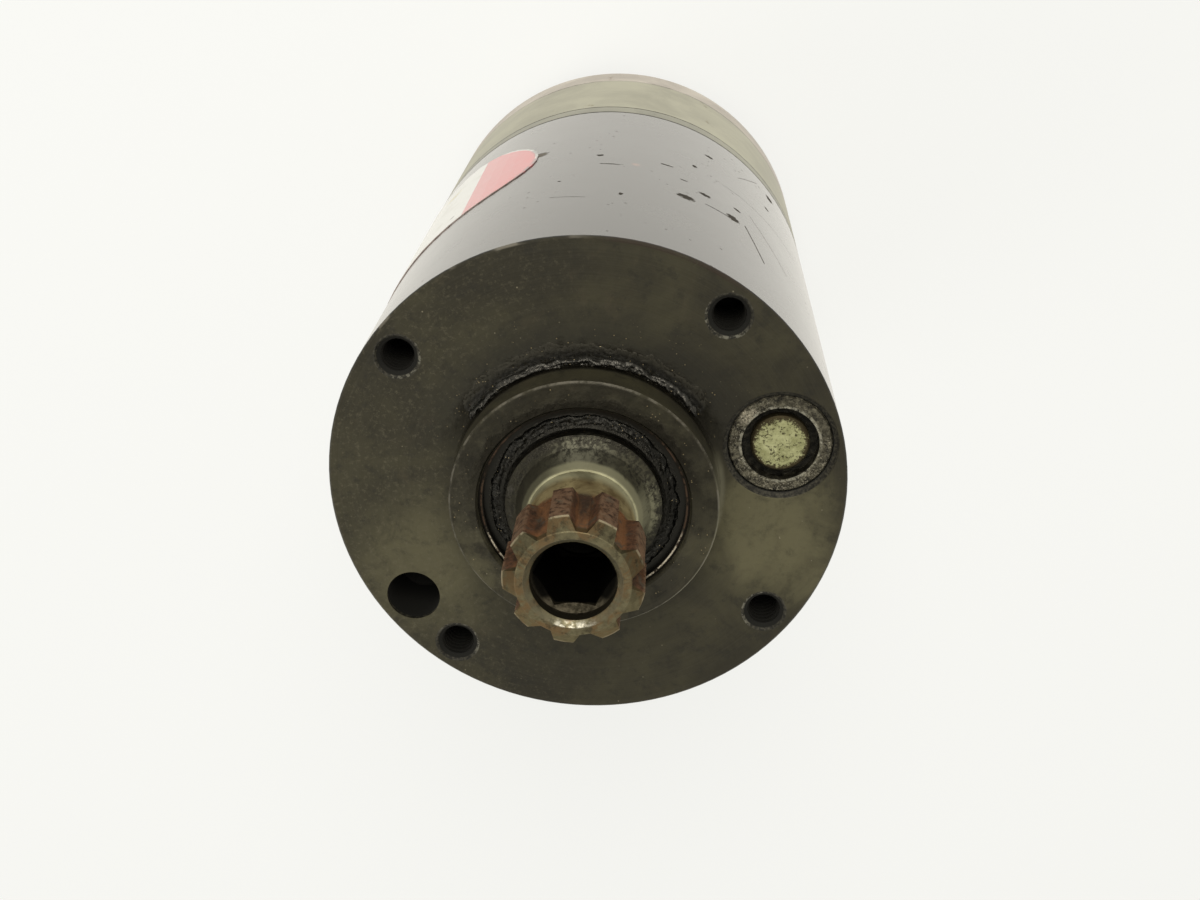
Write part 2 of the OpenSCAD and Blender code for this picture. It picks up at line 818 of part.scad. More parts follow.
// Ground spool with the splined input shaft on its front end
module input_spool() {
    edge = journal_r - shoulder_d / 2;
    journal_z = face_z + journal_out;
    spline_z = tip_z - spline_len;
    end_r = spline_root_d / 2 - 0.1;
    color([0.6, 0.55, 0.48])
        difference() {
            rotate_extrude()
                polygon([
                    [0, sleeve_low],
                    [journal_r - 0.3, sleeve_low],
                    [journal_r, sleeve_low + 0.3],
                    [journal_r, journal_z],
                    [journal_r - edge * 0.55, journal_z + edge * 0.25],
                    [journal_r - edge, journal_z + edge * 0.6],
                    [neck_d / 2 + 0.3, face_z + neck_start - 0.2],
                    [neck_d / 2, face_z + neck_start],
                    [neck_d / 2, spline_z],
                    [spline_d / 2, spline_z + 0.8],
                    [spline_d / 2, tip_z - spline_chamfer],
                    [end_r, tip_z],
                    [0, tip_z]
                ]);
            spline_slots(spline_z - over);
            shaft_socket();
            spool_cuts();
        }
}

// Straight-sided slots that leave the spline teeth standing
module spline_slots(z) {
    pitch = 360 / spline_teeth;
    root_r = spline_root_d / 2;
    tip_r = spline_d / 2 + over;
    tip_w = spline_d * sin(pitch * (1 - spline_tooth_share) / 2);
    root_w = tip_w * spline_taper;
    slope = (tip_w - root_w) / (spline_d - spline_root_d);
    for (k = [0 : spline_teeth - 1])
        rotate([0, 0, spline_angle + (k + 0.5) * pitch])
            translate([0, 0, z])
                linear_extrude(spline_len + 2 * over)
                    polygon([
                        [root_r, -root_w / 2],
                        [tip_r, -tip_w / 2 - slope * over],
                        [tip_r, tip_w / 2 + slope * over],
                        [root_r, root_w / 2]
                    ]);
}

// Round mouth with a chamfer, then the hexagon down to a drilled end
module shaft_socket() {
    corner = socket_hex / cos(30);
    lead = socket_mouth_d - socket_hex;
    drill_d = socket_hex - 0.4;
    translate([0, 0, tip_z - socket_mouth_depth])
        cylinder(d = socket_mouth_d, h = socket_mouth_depth + over);
    translate([0, 0, tip_z - socket_chamfer])
        cylinder(
            d1 = socket_mouth_d,
            d2 = socket_mouth_d + 2 * (socket_chamfer + over),
            h = socket_chamfer + over
        );
    translate([0, 0, tip_z - socket_mouth_depth - lead])
        cylinder(d1 = socket_mouth_d - 2 * lead, d2 = socket_mouth_d, h = lead);
    translate([0, 0, tip_z - socket_depth])
        cylinder(d = corner, h = socket_depth, $fn = 6);
    translate([0, 0, tip_z - socket_depth]) drill(drill_d, 1);
}

// Bore for the drive link, windows for the pin, slot for the springs, and flow slots
module spool_cuts() {
    pin_window = pin_d + 2 * journal_r * sin(shift_angle) + 0.5;
    bore_top = pin_z + spool_bore_rise;
    slot_len = 12;
    slot_wide = 2.4;
    slot_depth = 1;
    slot_low = 7;
    end_d = 6;
    end_h = 4;
    translate([0, 0, sleeve_low - over]) cylinder(d = spool_bore_d, h = bore_top - sleeve_low + over);
    translate([0, 0, bore_top]) cylinder(d1 = spool_bore_d, d2 = end_d, h = end_h);
    translate([0, 0, pin_z])
        rotate([0, 90, 0]) cylinder(d = pin_window, h = journal_d + over, center = true);
    translate([-journal_d / 2 - over, -slot_w / 2, leaf_z])
        cube([journal_d + 2 * over, slot_w, leaf_h + 0.6]);
    for (k = [0 : flow_holes - 1])
        for (d = port_levels)
            rotate([0, 0, (k + 0.5) * 360 / flow_holes])
                translate([journal_r - slot_depth, -slot_wide / 2, face_z - d - slot_low])
                    cube([slot_depth + over, slot_wide, slot_len]);
}

// Hardened sleeve between spool and housing
module valve_sleeve() {
    flow_a = 360 / flow_holes;
    meter_holes = 2 * (ring_lobes - 1);
    meter_z = house_z + passage_rise - 3;
    color([0.55, 0.55, 0.53])
        difference() {
            translate([0, 0, sleeve_low]) disc(sleeve_r, sleeve_top - sleeve_low, 0.3);
            translate([0, 0, sleeve_low - over])
                cylinder(r = journal_r + run, h = sleeve_top - sleeve_low + 2 * over);
            translate([0, 0, pin_z])
                rotate([0, 90, 0]) cylinder(d = pin_d + run, h = sleeve_d + over, center = true);
            translate([-sleeve_r - over, -slot_w / 2, leaf_z])
                cube([sleeve_d + 2 * over, slot_w, leaf_h + 10]);
            for (i = [0 : 3])
                flow_row(flow_holes, (i + 0.5) * flow_a / 2, face_z - ring_levels[i], flow_hole_d);
            flow_row(meter_holes, 90 / (ring_lobes - 1), meter_z, flow_hole_d * 0.8);
        }
}

// A row of holes through the wall of the sleeve
module flow_row(count, start, z, d) {
    for (k = [0 : count - 1])
        at(journal_r - over, start + k * 360 / count, z)
            rotate([0, 90, 0]) cylinder(d = d, h = sleeve_r - journal_r + 2 * over);
}

module cross_pin() {
    len = sleeve_d - 0.6;
    color("silver")
        translate([0, 0, pin_z]) rotate([0, 90, 0]) cylinder(d = pin_d, h = len, center = true);
}

module flat_leaf_springs() {
    len = sleeve_d - 2;
    color([0.3, 0.32, 0.38])
        for (s = [-1, 1])
            translate([0, s * (leaf_t / 2 + 0.02), leaf_z + leaf_h / 2 + 0.3])
                cube([len, leaf_t, leaf_h], center = true);
}

// Curved leaves rest against the flat ones in the middle and spread at their ends
module curved_leaf_springs() {
    len = sleeve_d - 2;
    mid_r = (len * len / 4 + leaf_bow * leaf_bow) / (2 * leaf_bow);
    color([0.25, 0.28, 0.36])
        for (s = [-1, 1])
            for (i = [0, 1])
                intersection() {
                    translate([0, s * (mid_r + leaf_t * 1.5 + 0.06 + i * (leaf_t + 0.05)), leaf_z + 0.3])
                        tube(mid_r + leaf_t / 2, mid_r - leaf_t / 2, leaf_h);
                    translate([-len / 2, -slot_w, leaf_z]) cube([len, 2 * slot_w, leaf_h + over]);
                }
}

// Gear set

// Outline of the rotor: the curve that rolls with a small gap round the lobes of the ring
function rotor_turn(t) =
    atan2(sin((1 - ring_lobes) * t), lobe_circle_r / (ecc * ring_lobes) - cos((1 - ring_lobes) * t));

function rotor_point(t) =
    let (r = lobe_r + gear_gap, a = rotor_turn(t))
    [
        lobe_circle_r * cos(t) - r * cos(t + a) - ecc * cos(ring_lobes * t),
        -lobe_circle_r * sin(t) + r * sin(t + a) + ecc * sin(ring_lobes * t)
    ];

module rotor() {
    h = ring_w - 2 * play;
    space_w = link_tooth_w + 0.8;
    space_r = rotor_bore_d / 2 + rotor_space_depth;
    color([0.5, 0.5, 0.48])
        translate([ecc, 0, ring_z + play])
            difference() {
                linear_extrude(h)
                    polygon([for (i = [0 : rotor_steps - 1]) rotor_point(i * 360 / rotor_steps)]);
                translate([0, 0, -over]) cylinder(d = rotor_bore_d, h = h + 2 * over);
                for (k = [0 : link_teeth - 1])
                    rotate([0, 0, k * 360 / link_teeth])
                        translate([0, -space_w / 2, -over]) cube([space_r, space_w, h + 2 * over]);
            }
}

module drive_spacer() {
    color([0.4, 0.4, 0.4])
        translate([ecc, 0, ring_z + play])
            disc(rotor_bore_d / 2 - play, spacer_t - play, 0.4);
}

// Drive link: a fork on the cross pin, a shank, and a crowned toothed head in the rotor
module drive_link() {
    color([0.45, 0.43, 0.4])
        translate([0, 0, pin_z])
            rotate([0, -link_tilt, 0])
                difference() {
                    union() {
                        link_shank();
                        link_head();
                    }
                    fork_slot();
                }
}

module link_shank() {
    fork_r = spool_bore_d / 2 - 1.2;
    fork_top = 9;
    fork_low = -9;
    neck = 8;
    head_top = link_len - link_head_len / 2;
    core_r = rotor_bore_d / 2 - 0.8;
    low = link_len + link_head_len / 2;
    nose_r = 3;
    rotate_extrude()
        polygon([
            [0, fork_top], [fork_r - 2, fork_top], [fork_r, fork_top - 2], [fork_r, fork_low],
            [link_d / 2, fork_low - neck], [link_d / 2, -head_top + 5], [core_r, -head_top],
            [core_r, -low + 1], [core_r - 1, -low], [nose_r, -low],
            [nose_r - link_nose, -low - link_nose], [0, -low - link_nose]
        ]);
}

module link_head() {
    core_r = rotor_bore_d / 2 - 1;
    tip_r = rotor_bore_d / 2 + rotor_space_depth - 0.7;
    half = link_head_len / 2;
    intersection() {
        translate([0, 0, -link_len])
            rotate_extrude()
                polygon([
                    [0, -half + 0.4], [core_r, -half + 0.4], [tip_r - 0.4, -half + 2.4], [tip_r, 0],
                    [tip_r - 0.4, half - 2.4], [core_r, half - 0.4], [0, half - 0.4]
                ]);
        for (k = [0 : link_teeth - 1])
            rotate([0, 0, k * 360 / link_teeth])
                translate([0, -link_tooth_w / 2, -link_len - half])
                    cube([tip_r + over, link_tooth_w, link_head_len]);
    }
}

// The slot's floor lies a little low, so that the leaning link clears the ends of the pin
module fork_slot() {
    slot = pin_d + 0.4;
    drop = 0.5;
    translate([-body_r, -slot / 2, -drop]) cube([body_d, slot, spool_bore_d]);
    translate([0, 0, -drop]) rotate([0, 90, 0]) cylinder(d = slot, h = body_d, center = true);
}

// Relief valve

module relief_plug() {
    well = 2.5;
    color([0.25, 0.24, 0.22])
        at(relief_r, relief_angle, 0)
            difference() {
                union() {
                    translate([0, 0, recess_z + plug_gap])
                        disc(relief_d / 2 - 0.15, plug_top - recess_z - plug_gap, 0.3);
                    translate([0, 0, plug_low])
                        cylinder(d = plug_body_d, h = recess_z + plug_gap + over - plug_low);
                }
                translate([0, 0, plug_top - well]) cylinder(d = plug_well_d, h = well + over);
                translate([0, 0, adjuster_low])
                    cylinder(d = adjuster_d + 2 * run, h = plug_top - adjuster_low + over);
                translate([0, 0, plug_low - over])
                    cylinder(d = spring_d, h = adjuster_low - plug_low + 2 * over);
            }
}

module relief_adjuster() {
    color([0.72, 0.74, 0.6])
        at(relief_r, relief_angle, adjuster_low)
            disc(adjuster_d / 2, plug_top - 0.3 - adjuster_low, 0.4);
}

module plug_o_ring() {
    cord = 1.5;
    color("black")
        at(relief_r, relief_angle, recess_z + plug_gap / 2)
            o_ring(plug_body_d / 2 + cord / 2 + 0.1, cord);
}

module relief_poppet() {
    color("silver")
        at(relief_r, relief_angle, poppet_low)
            rotate_extrude()
                polygon([
                    [0, 0], [poppet_hole_d / 2, 0], [poppet_r, poppet_cone],
                    [poppet_r, poppet_len - 1], [poppet_r - 1, poppet_len], [0, poppet_len]
                ]);
}

// Points round one turn position of the spring's wire
function wire_ring(a, z, r, wire, sides) =
    [for (i = [0 : sides - 1])
        let (b = i * 360 / sides, q = r + wire / 2 * cos(b))
        [q * cos(a), q * sin(a), z + wire / 2 * sin(b)]];

// Coil spring between the adjuster and the poppet, swept as one closed wire
module relief_spring() {
    sides = 6;
    per_turn = 12;
    low = poppet_top + spring_wire / 2;
    high = adjuster_low - spring_wire / 2;
    r = spring_d / 2 - spring_step - spring_wire / 2;
    n = spring_turns * per_turn;
    rings = [for (i = [0 : n])
        wire_ring(i * 360 / per_turn, low + (high - low) * i / n, r, spring_wire, sides)];
    color("silver")
        at(relief_r, relief_angle, 0)
            polyhedron(
                points = [for (ring = rings) for (p = ring) p],
                faces = concat(
                    [[for (i = [0 : sides - 1]) i]],
                    [for (j = [0 : n - 1]) for (i = [0 : sides - 1])
                        let (k = (i + 1) % sides)
                        [j * sides + i, (j + 1) * sides + i, (j + 1) * sides + k, j * sides + k]],
                    [[for (i = [sides - 1 : -1 : 0]) n * sides + i]]
                )
            );
}

housing();
spacer_plate();
gear_ring();
end_cap();
cap_screws();
ball_stop_screw();
screw_washers();
housing_o_ring();
plate_o_ring();
cap_o_ring();
label();
retaining_ring();
seal_gland();
dust_seal();
shaft_seal();
gland_o_ring();
front_race();
needle_cage();
needle_rollers();
rear_race();
input_spool();
valve_sleeve();
cross_pin();
flat_leaf_springs();
curved_leaf_springs();
drive_link();
drive_spacer();
rotor();
check_ball();
relief_plug();
relief_adjuster();
plug_o_ring();
relief_spring();
relief_poppet();
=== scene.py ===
"""Looks of a used hydraulic steering unit, standing on its rear screw heads with the shaft up."""

import math
import random

import bmesh
import bpy
from mathutils import Matrix, Vector


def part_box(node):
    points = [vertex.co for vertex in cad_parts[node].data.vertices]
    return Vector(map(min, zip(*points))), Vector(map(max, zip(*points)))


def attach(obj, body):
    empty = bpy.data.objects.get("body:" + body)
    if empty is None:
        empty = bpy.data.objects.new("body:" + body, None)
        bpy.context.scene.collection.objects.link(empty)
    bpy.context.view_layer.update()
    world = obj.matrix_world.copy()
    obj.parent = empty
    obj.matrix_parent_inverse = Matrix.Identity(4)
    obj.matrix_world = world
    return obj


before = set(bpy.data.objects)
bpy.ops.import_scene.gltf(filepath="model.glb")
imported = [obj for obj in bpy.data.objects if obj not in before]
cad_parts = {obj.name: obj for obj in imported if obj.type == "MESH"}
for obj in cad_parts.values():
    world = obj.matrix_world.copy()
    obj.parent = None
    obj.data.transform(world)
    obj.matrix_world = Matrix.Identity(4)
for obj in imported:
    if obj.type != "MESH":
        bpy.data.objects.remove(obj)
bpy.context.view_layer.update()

# Levels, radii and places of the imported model, in metres and degrees
BODY_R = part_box("gear_ring")[1].x
HOUSE_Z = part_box("housing")[0].z
NOSE_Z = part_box("housing")[1].z
TIP_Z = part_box("input_spool")[1].z
RING_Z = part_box("gear_ring")[0].z
PLATE_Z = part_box("spacer_plate")[0].z
NOSE_H = 0.009
FACE_Z = NOSE_Z - NOSE_H
NOSE_R = 0.02585
CHAMBER_R = 0.0203
JOURNAL_R = 0.015
SPLINE_R = 0.0126
SPLINE_ROOT_R = 0.01015
MOUTH_R = 0.0077
HOLE_CIRCLE_R = 0.0447
HOLE_ANGLE = 53.3
HOLE_R = 0.0033
PLUG_CIRCLE_R = 0.0387
PLUG_ANGLE = 14.6
WELL_R = 0.0075
PORT_FLAT_Y = -0.044
PORT_X = 0.013
PORT_R = 0.00645
PORT_DEPTHS = (0.036, 0.070)
LABEL_FRONT = 0.044
LABEL_W = 0.054
LABEL_ANGLE = 107
# Painted shade round each tapped hole: black to the roots of its thread, and a dark ring
HOLE_ROOT_R = 0.00395
HOLE_RING_R = 0.00465


def polar(r, degrees, z=0.0):
    """A point at a radius and an angle round the shaft."""
    a = math.radians(degrees)
    return Vector((r * math.cos(a), r * math.sin(a), z))


HOLES = [polar(HOLE_CIRCLE_R, HOLE_ANGLE + 90 * k) for k in range(4)]
PLUG = polar(PLUG_CIRCLE_R, PLUG_ANGLE)


# Camera of the photograph, fitted to the outline of the round body and the tapped holes
CAMERA_AT = Vector((0.0158, 0.1246, FACE_Z + 0.2611))
CAMERA_FORWARD = Vector((-0.0457, -0.4068, -0.9124))
CAMERA_UP = Vector((-0.0203, 0.9132, -0.4065))
CAMERA_LENS = 44.4


def make_camera():
    """Puts the fitted camera in the scene."""
    cam = bpy.data.cameras.new("camera")
    cam.sensor_width = 36
    cam.lens = CAMERA_LENS
    cam.clip_start = 0.01
    cam.clip_end = 20
    obj = bpy.data.objects.new("camera", cam)
    bpy.context.collection.objects.link(obj)
    forward = CAMERA_FORWARD.normalized()
    right = forward.cross(CAMERA_UP).normalized()
    up = right.cross(forward)
    turn = Matrix((right, up, -forward)).transposed()
    obj.matrix_world = Matrix.Translation(CAMERA_AT) @ turn.to_4x4()
    bpy.context.scene.camera = obj


make_camera()


# Shading helpers
class Shade:
    """Builds one node material. Sockets and plain numbers can both be passed in."""

    def __init__(self, name):
        self.material = bpy.data.materials.new(name)
        self.material.use_nodes = True
        self.tree = self.material.node_tree
        self.bsdf = self.tree.nodes["Principled BSDF"]
        self.place = self.tree.nodes.new("ShaderNodeTexCoord").outputs["Object"]
        split = self.tree.nodes.new("ShaderNodeSeparateXYZ")
        self.link(self.place, split.inputs[0])
        self.x, self.y, self.z = split.outputs
        self.radius = self.length(self.x, self.y)

    def link(self, a, b):
        """Feeds a socket, a number or a colour of three values into a socket."""
        if isinstance(a, bpy.types.NodeSocket):
            self.tree.links.new(a, b)
        elif hasattr(a, "__len__") and b.type == "RGBA":
            b.default_value = (*a[:3], 1)
        else:
            b.default_value = a

    def math(self, kind, a, b=0.0, clamp=False):
        node = self.tree.nodes.new("ShaderNodeMath")
        node.operation = kind
        node.use_clamp = clamp
        for value, socket in zip((a, b), node.inputs):
            self.link(value, socket)
        return node.outputs[0]

    def add(self, a, b):
        return self.math("ADD", a, b)

    def sub(self, a, b):
        return self.math("SUBTRACT", a, b)

    def mul(self, a, b):
        return self.math("MULTIPLY", a, b)

    def both(self, a, b):
        return self.math("MINIMUM", a, b)

    def either(self, a, b):
        return self.math("MAXIMUM", a, b)

    def flip(self, a):
        return self.sub(1.0, a)

    def length(self, a, b):
        return self.math("SQRT", self.add(self.mul(a, a), self.mul(b, b)))

    def sway(self, value, size):
        """A value from 0 to 1 moved to lie evenly about 0, and scaled."""
        return self.mul(self.sub(value, 0.5), size)

    def turned(self):
        """Angle round the shaft in degrees, -180 to 180."""
        return self.mul(self.math("ARCTAN2", self.y, self.x), 180 / math.pi)

    def step(self, value, low, high):
        """Smooth step from low to high; low may be the larger."""
        node = self.tree.nodes.new("ShaderNodeMapRange")
        node.interpolation_type = "SMOOTHSTEP"
        for v, socket in zip((value, low, high), node.inputs):
            self.link(v, socket)
        return node.outputs[0]

    def noise(self, scale, detail=4.0, rough=0.55, at=None, bend=0.0):
        node = self.tree.nodes.new("ShaderNodeTexNoise")
        self.link(self.place if at is None else at, node.inputs["Vector"])
        self.link(scale, node.inputs["Scale"])
        self.link(detail, node.inputs["Detail"])
        self.link(rough, node.inputs["Roughness"])
        self.link(bend, node.inputs["Distortion"])
        return node.outputs["Fac"]

    def patches(self, low, high, *noise, **more):
        """Noise cut off between two levels."""
        return self.step(self.noise(*noise, **more), low, high)

    def cells(self, scale, at=None):
        """Distance to the nearest of many scattered points."""
        node = self.tree.nodes.new("ShaderNodeTexVoronoi")
        self.link(self.place if at is None else at, node.inputs["Vector"])
        self.link(scale, node.inputs["Scale"])
        return node.outputs["Distance"]

    def grains(self):
        """Single bright grains of dirt in grease, in loose groups."""
        return self.mul(self.step(self.cells(1500), 0.2, 0.1), self.patches(0.54, 0.62, 420, 3))

    def vector(self, kind, a, b):
        node = self.tree.nodes.new("ShaderNodeVectorMath")
        node.operation = kind
        self.link(a, node.inputs[0])
        self.link(b, node.inputs[1])
        return node.outputs["Value" if kind in ("LENGTH", "DISTANCE", "DOT_PRODUCT") else "Vector"]

    def join(self, x, y, z):
        node = self.tree.nodes.new("ShaderNodeCombineXYZ")
        for v, socket in zip((x, y, z), node.inputs):
            self.link(v, socket)
        return node.outputs[0]

    def wrapped(self):
        """Place on the round body as (arc length, height, radius), so that marks follow the curve."""
        angle = self.math("ARCTAN2", self.y, self.x)
        return self.join(self.mul(angle, BODY_R), self.z, self.radius)

    def near(self, point, reach, soft, wobble=None):
        """1 within reach of a point, fading over soft."""
        d = self.vector("DISTANCE", self.place, tuple(point))
        if wobble is not None:
            d = self.add(d, wobble)
        return self.step(d, reach + soft, reach)

    def beside(self, point):
        """Distance from a line that stands on a point and runs along the shaft."""
        return self.vector("DISTANCE", self.join(self.x, self.y, 0.0), tuple(point))

    def blend(self, share, a, b):
        """Colour a, changed to b by a share."""
        node = self.tree.nodes.new("ShaderNodeMix")
        node.data_type = "RGBA"
        self.link(share, node.inputs["Factor"])
        self.link(a, node.inputs[6])
        self.link(b, node.inputs[7])
        return node.outputs[2]

    def lerp(self, share, a, b):
        """Number a, changed to b by a share."""
        node = self.tree.nodes.new("ShaderNodeMix")
        self.link(share, node.inputs["Factor"])
        self.link(a, node.inputs[2])
        self.link(b, node.inputs[3])
        return node.outputs[0]

    def bump(self, height, depth, over=None):
        """Bump of a given depth in metres, on top of an earlier bump."""
        node = self.tree.nodes.new("ShaderNodeBump")
        self.link(1.0, node.inputs["Strength"])
        self.link(depth, node.inputs["Distance"])
        self.link(height, node.inputs["Height"])
        if over is not None:
            self.link(over, node.inputs["Normal"])
        return node.outputs[0]

    def finish(self, color, rough, metal=0.0, normal=None, **fixed):
        """Feeds the surface, and sets any other socket to a fixed value."""
        self.link(color, self.bsdf.inputs["Base Color"])
        self.link(rough, self.bsdf.inputs["Roughness"])
        self.link(metal, self.bsdf.inputs["Metallic"])
        if normal is not None:
            self.link(normal, self.bsdf.inputs["Normal"])
        for name, value in fixed.items():
            self.bsdf.inputs[name.replace("_", " ").title()].default_value = value
        return self.material


# Chips in the paint, as (depth below the face, angle, width round the body, width along it) in mm and degrees
CHIPS = [
    (65.0, 90.6, 0.9, 0.8), (57.0, 87.4, 2.6, 0.4), (65.0, 73.7, 1.8, 0.5), (56.5, 69.2, 1.0, 0.4),
    (42.6, 68.6, 2.2, 1.7), (51.7, 63.5, 1.5, 1.1), (91.5, 61.5, 1.2, 1.0), (56.0, 54.0, 1.0, 0.8),
    (46.0, 55.7, 1.7, 2.0), (103.0, 38.5, 1.4, 2.2), (86.0, 41.3, 0.8, 0.9), (32.0, 84.0, 0.5, 0.9),
    (74.0, 66.0, 0.6, 1.2), (43.0, 99.0, 0.5, 0.4),
]
# Scratches, as (depth, angle) of both ends and the width
SCRATCHES = [
    ((44.3, 63.3), (44.6, 57.0), 0.35), ((47.0, 52.0), (29.3, 47.2), 0.25),
    ((71.0, 58.0), (71.0, 30.0), 0.12), ((60.0, 50.0), (40.0, 38.0), 0.12),
    ((30.0, 100.0), (28.0, 92.0), 0.15), ((90.0, 52.0), (104.0, 44.0), 0.12),
]


def paint_marks(s, at):
    """Share of bare metal showing through the paint of the barrel."""
    mm = 0.001
    rag = s.sway(s.noise(1400, 3, at=at), 1.6)
    mask = 0.0
    for depth, angle, wide, tall in CHIPS:
        centre = (math.radians(angle) * BODY_R, FACE_Z - depth * mm, BODY_R)
        scaled = s.vector("MULTIPLY", s.vector("SUBTRACT", at, centre), (1 / (wide * mm), 1 / (tall * mm), 0))
        d = s.add(s.vector("LENGTH", scaled, (0, 0, 0)), rag)
        mask = s.either(mask, s.step(d, 1.05, 0.8))
    for (d0, a0), (d1, a1), wide in SCRATCHES:
        p = Vector((math.radians(a0) * BODY_R, FACE_Z - d0 * mm, 0))
        q = Vector((math.radians(a1) * BODY_R, FACE_Z - d1 * mm, 0))
        run = q - p
        from_p = s.vector("MULTIPLY", s.vector("SUBTRACT", at, tuple(p)), (1, 1, 0))
        along = s.math("DIVIDE", s.vector("DOT_PRODUCT", from_p, tuple(run)), run.length_squared, clamp=True)
        foot = s.join(s.mul(along, run.x), s.mul(along, run.y), 0.0)
        d = s.mul(s.vector("DISTANCE", from_p, foot), 1 / (wide * mm))
        mask = s.either(mask, s.step(s.add(d, rag), 1.0, 0.5))
    return mask


def barrel_paint(s, fine):
    """Glossy black paint with a film of dust, chips, a rust spot and dirt at the label's tip.

    Gives its colour, its roughness, the share of bare metal and the share without gloss."""
    at = s.wrapped()
    grey = s.noise(90, 5, 0.6)
    specks = s.step(s.cells(420, at=at), 0.16, 0.1)
    specks = s.mul(specks, s.patches(0.55, 0.62, 60, 2))
    chips = s.either(paint_marks(s, at), s.mul(specks, 0.5))
    paint = s.blend(s.step(grey, 0.45, 0.75), (0.012, 0.012, 0.012), (0.034, 0.032, 0.028))
    rust_spot = s.near(polar(BODY_R, 81.3, FACE_Z - 0.0588), 0.0006, 0.0006, s.sway(fine, 0.001))
    paint = s.blend(rust_spot, paint, (0.20, 0.07, 0.03))
    label_tip = polar(BODY_R, LABEL_ANGLE - 0.1, FACE_Z - 0.0735)
    tip_dirt = s.near(label_tip, 0.0014, 0.0012, s.sway(s.noise(700, 4, 0.7), 0.004))
    paint = s.blend(s.mul(tip_dirt, 0.75), paint, (0.075, 0.055, 0.028))
    bare = s.blend(fine, (0.010, 0.009, 0.008), (0.055, 0.048, 0.038))
    paint = s.blend(chips, paint, bare)
    joint = s.step(s.z, HOUSE_Z + 0.0009, HOUSE_Z + 0.0004)
    paint = s.blend(joint, paint, (0.03, 0.028, 0.022))
    rough = s.lerp(s.either(chips, tip_dirt), s.add(0.2, s.mul(grey, 0.12)), 0.75)
    dull = s.either(s.either(s.mul(chips, 0.9), joint), s.mul(tip_dirt, 0.7))
    return paint, rough, chips, dull


def face_iron(s, blot, stain, turning):
    """Matte olive charcoal with stains and fine turning marks, paler low on both sides."""
    pale = s.near(polar(0.037, -16, FACE_Z), 0.006, 0.013, s.sway(blot, 0.03))
    pale = s.either(pale, s.mul(s.near(polar(0.036, -150, FACE_Z), 0.006, 0.016, s.sway(blot, 0.03)), 0.7))
    pale = s.mul(pale, s.step(stain, 0.2, 0.52))
    face = s.blend(s.step(blot, 0.35, 0.7), (0.013, 0.0112, 0.0055), (0.030, 0.0265, 0.0130))
    face = s.blend(s.mul(pale, 0.9), face, (0.096, 0.086, 0.044))
    mottle = s.mul(s.patches(0.50, 0.70, 1000, 6, 0.8), s.step(s.add(s.x, s.mul(blot, 0.03)), 0.03, -0.02))
    face = s.blend(s.mul(mottle, 0.5), face, (0.100, 0.088, 0.054))
    face = s.blend(s.mul(s.step(stain, 0.55, 0.8), 0.6), face, (0.040, 0.032, 0.017))
    dark = s.mul(s.patches(0.5, 0.68, 260, 6, 0.75), s.sub(0.62, s.mul(pale, 0.42)))
    face = s.blend(dark, face, (0.006, 0.0055, 0.003))
    face = s.blend(s.mul(s.sub(turning, 0.35), 0.3), face, (0.065, 0.060, 0.045))
    speck = s.mul(s.step(s.cells(700), 0.13, 0.07), s.patches(0.6, 0.7, 300, 2))
    return s.blend(speck, face, (0.16, 0.14, 0.09))


def nose_smear(s, face, fine, angle):
    """Greasy smear with grit round the upper half of the nose, and a soft stain beyond it.

    Gives the colour and the share that is wet."""
    upper = s.both(s.step(angle, 8, 40), s.step(angle, 176, 140))
    upper = s.both(upper, s.step(s.z, FACE_Z + 0.003, FACE_Z + 0.0015))
    ragged = s.sway(s.noise(330, 5, 0.7), 0.0075)
    reach = s.add(s.radius, ragged)
    smear = s.mul(s.step(reach, NOSE_R + 0.0056, NOSE_R + 0.0024), upper)
    soft = s.mul(s.step(reach, NOSE_R + 0.014, NOSE_R + 0.002), upper)
    on_nose = s.step(s.radius, NOSE_R - 0.0002, NOSE_R - 0.0006)
    on_nose = s.mul(on_nose, s.step(s.z, NOSE_Z - 0.0004, NOSE_Z - 0.0002))
    oily = s.mul(on_nose, s.mul(s.step(s.add(s.noise(260, 4, 0.6), s.mul(s.y, 6)), 0.38, 0.68), 0.62))
    face = s.blend(s.mul(soft, 0.72), face, (0.010, 0.0095, 0.0065))
    by_seal = s.step(s.add(s.radius, s.mul(ragged, 0.7)), CHAMBER_R + 0.0033, CHAMBER_R + 0.0015)
    by_seal = s.mul(by_seal, s.step(s.y, -0.006, 0.010))
    oily = s.either(oily, s.mul(by_seal, on_nose))
    wet = s.either(smear, oily)
    face = s.blend(wet, face, s.blend(fine, (0.005, 0.0047, 0.0035), (0.024, 0.021, 0.014)))
    grit = s.mul(s.step(s.cells(1300), 0.2, 0.1), s.patches(0.54, 0.62, 520, 3))
    grit = s.mul(grit, s.either(soft, on_nose))
    grit_tone = s.blend(s.noise(500, 1), (0.10, 0.09, 0.07), (0.36, 0.27, 0.12))
    return s.blend(s.mul(grit, 0.8), face, grit_tone), wet


def nose_band(s, face, blot, angle):
    """Pale band of wear beside the nose on its right."""
    band = s.both(s.step(angle, 22, 8), s.step(angle, -80, -45))
    band = s.mul(s.step(s.radius, NOSE_R + 0.0017, NOSE_R + 0.0006), band)
    band = s.mul(band, s.mul(s.step(s.radius, NOSE_R - 0.0004, NOSE_R - 0.0001), s.step(blot, 0.25, 0.5)))
    tone = s.blend(s.step(angle, 6, -14), (0.105, 0.098, 0.062), (0.185, 0.172, 0.112))
    return s.blend(s.mul(band, 0.8), face, tone)


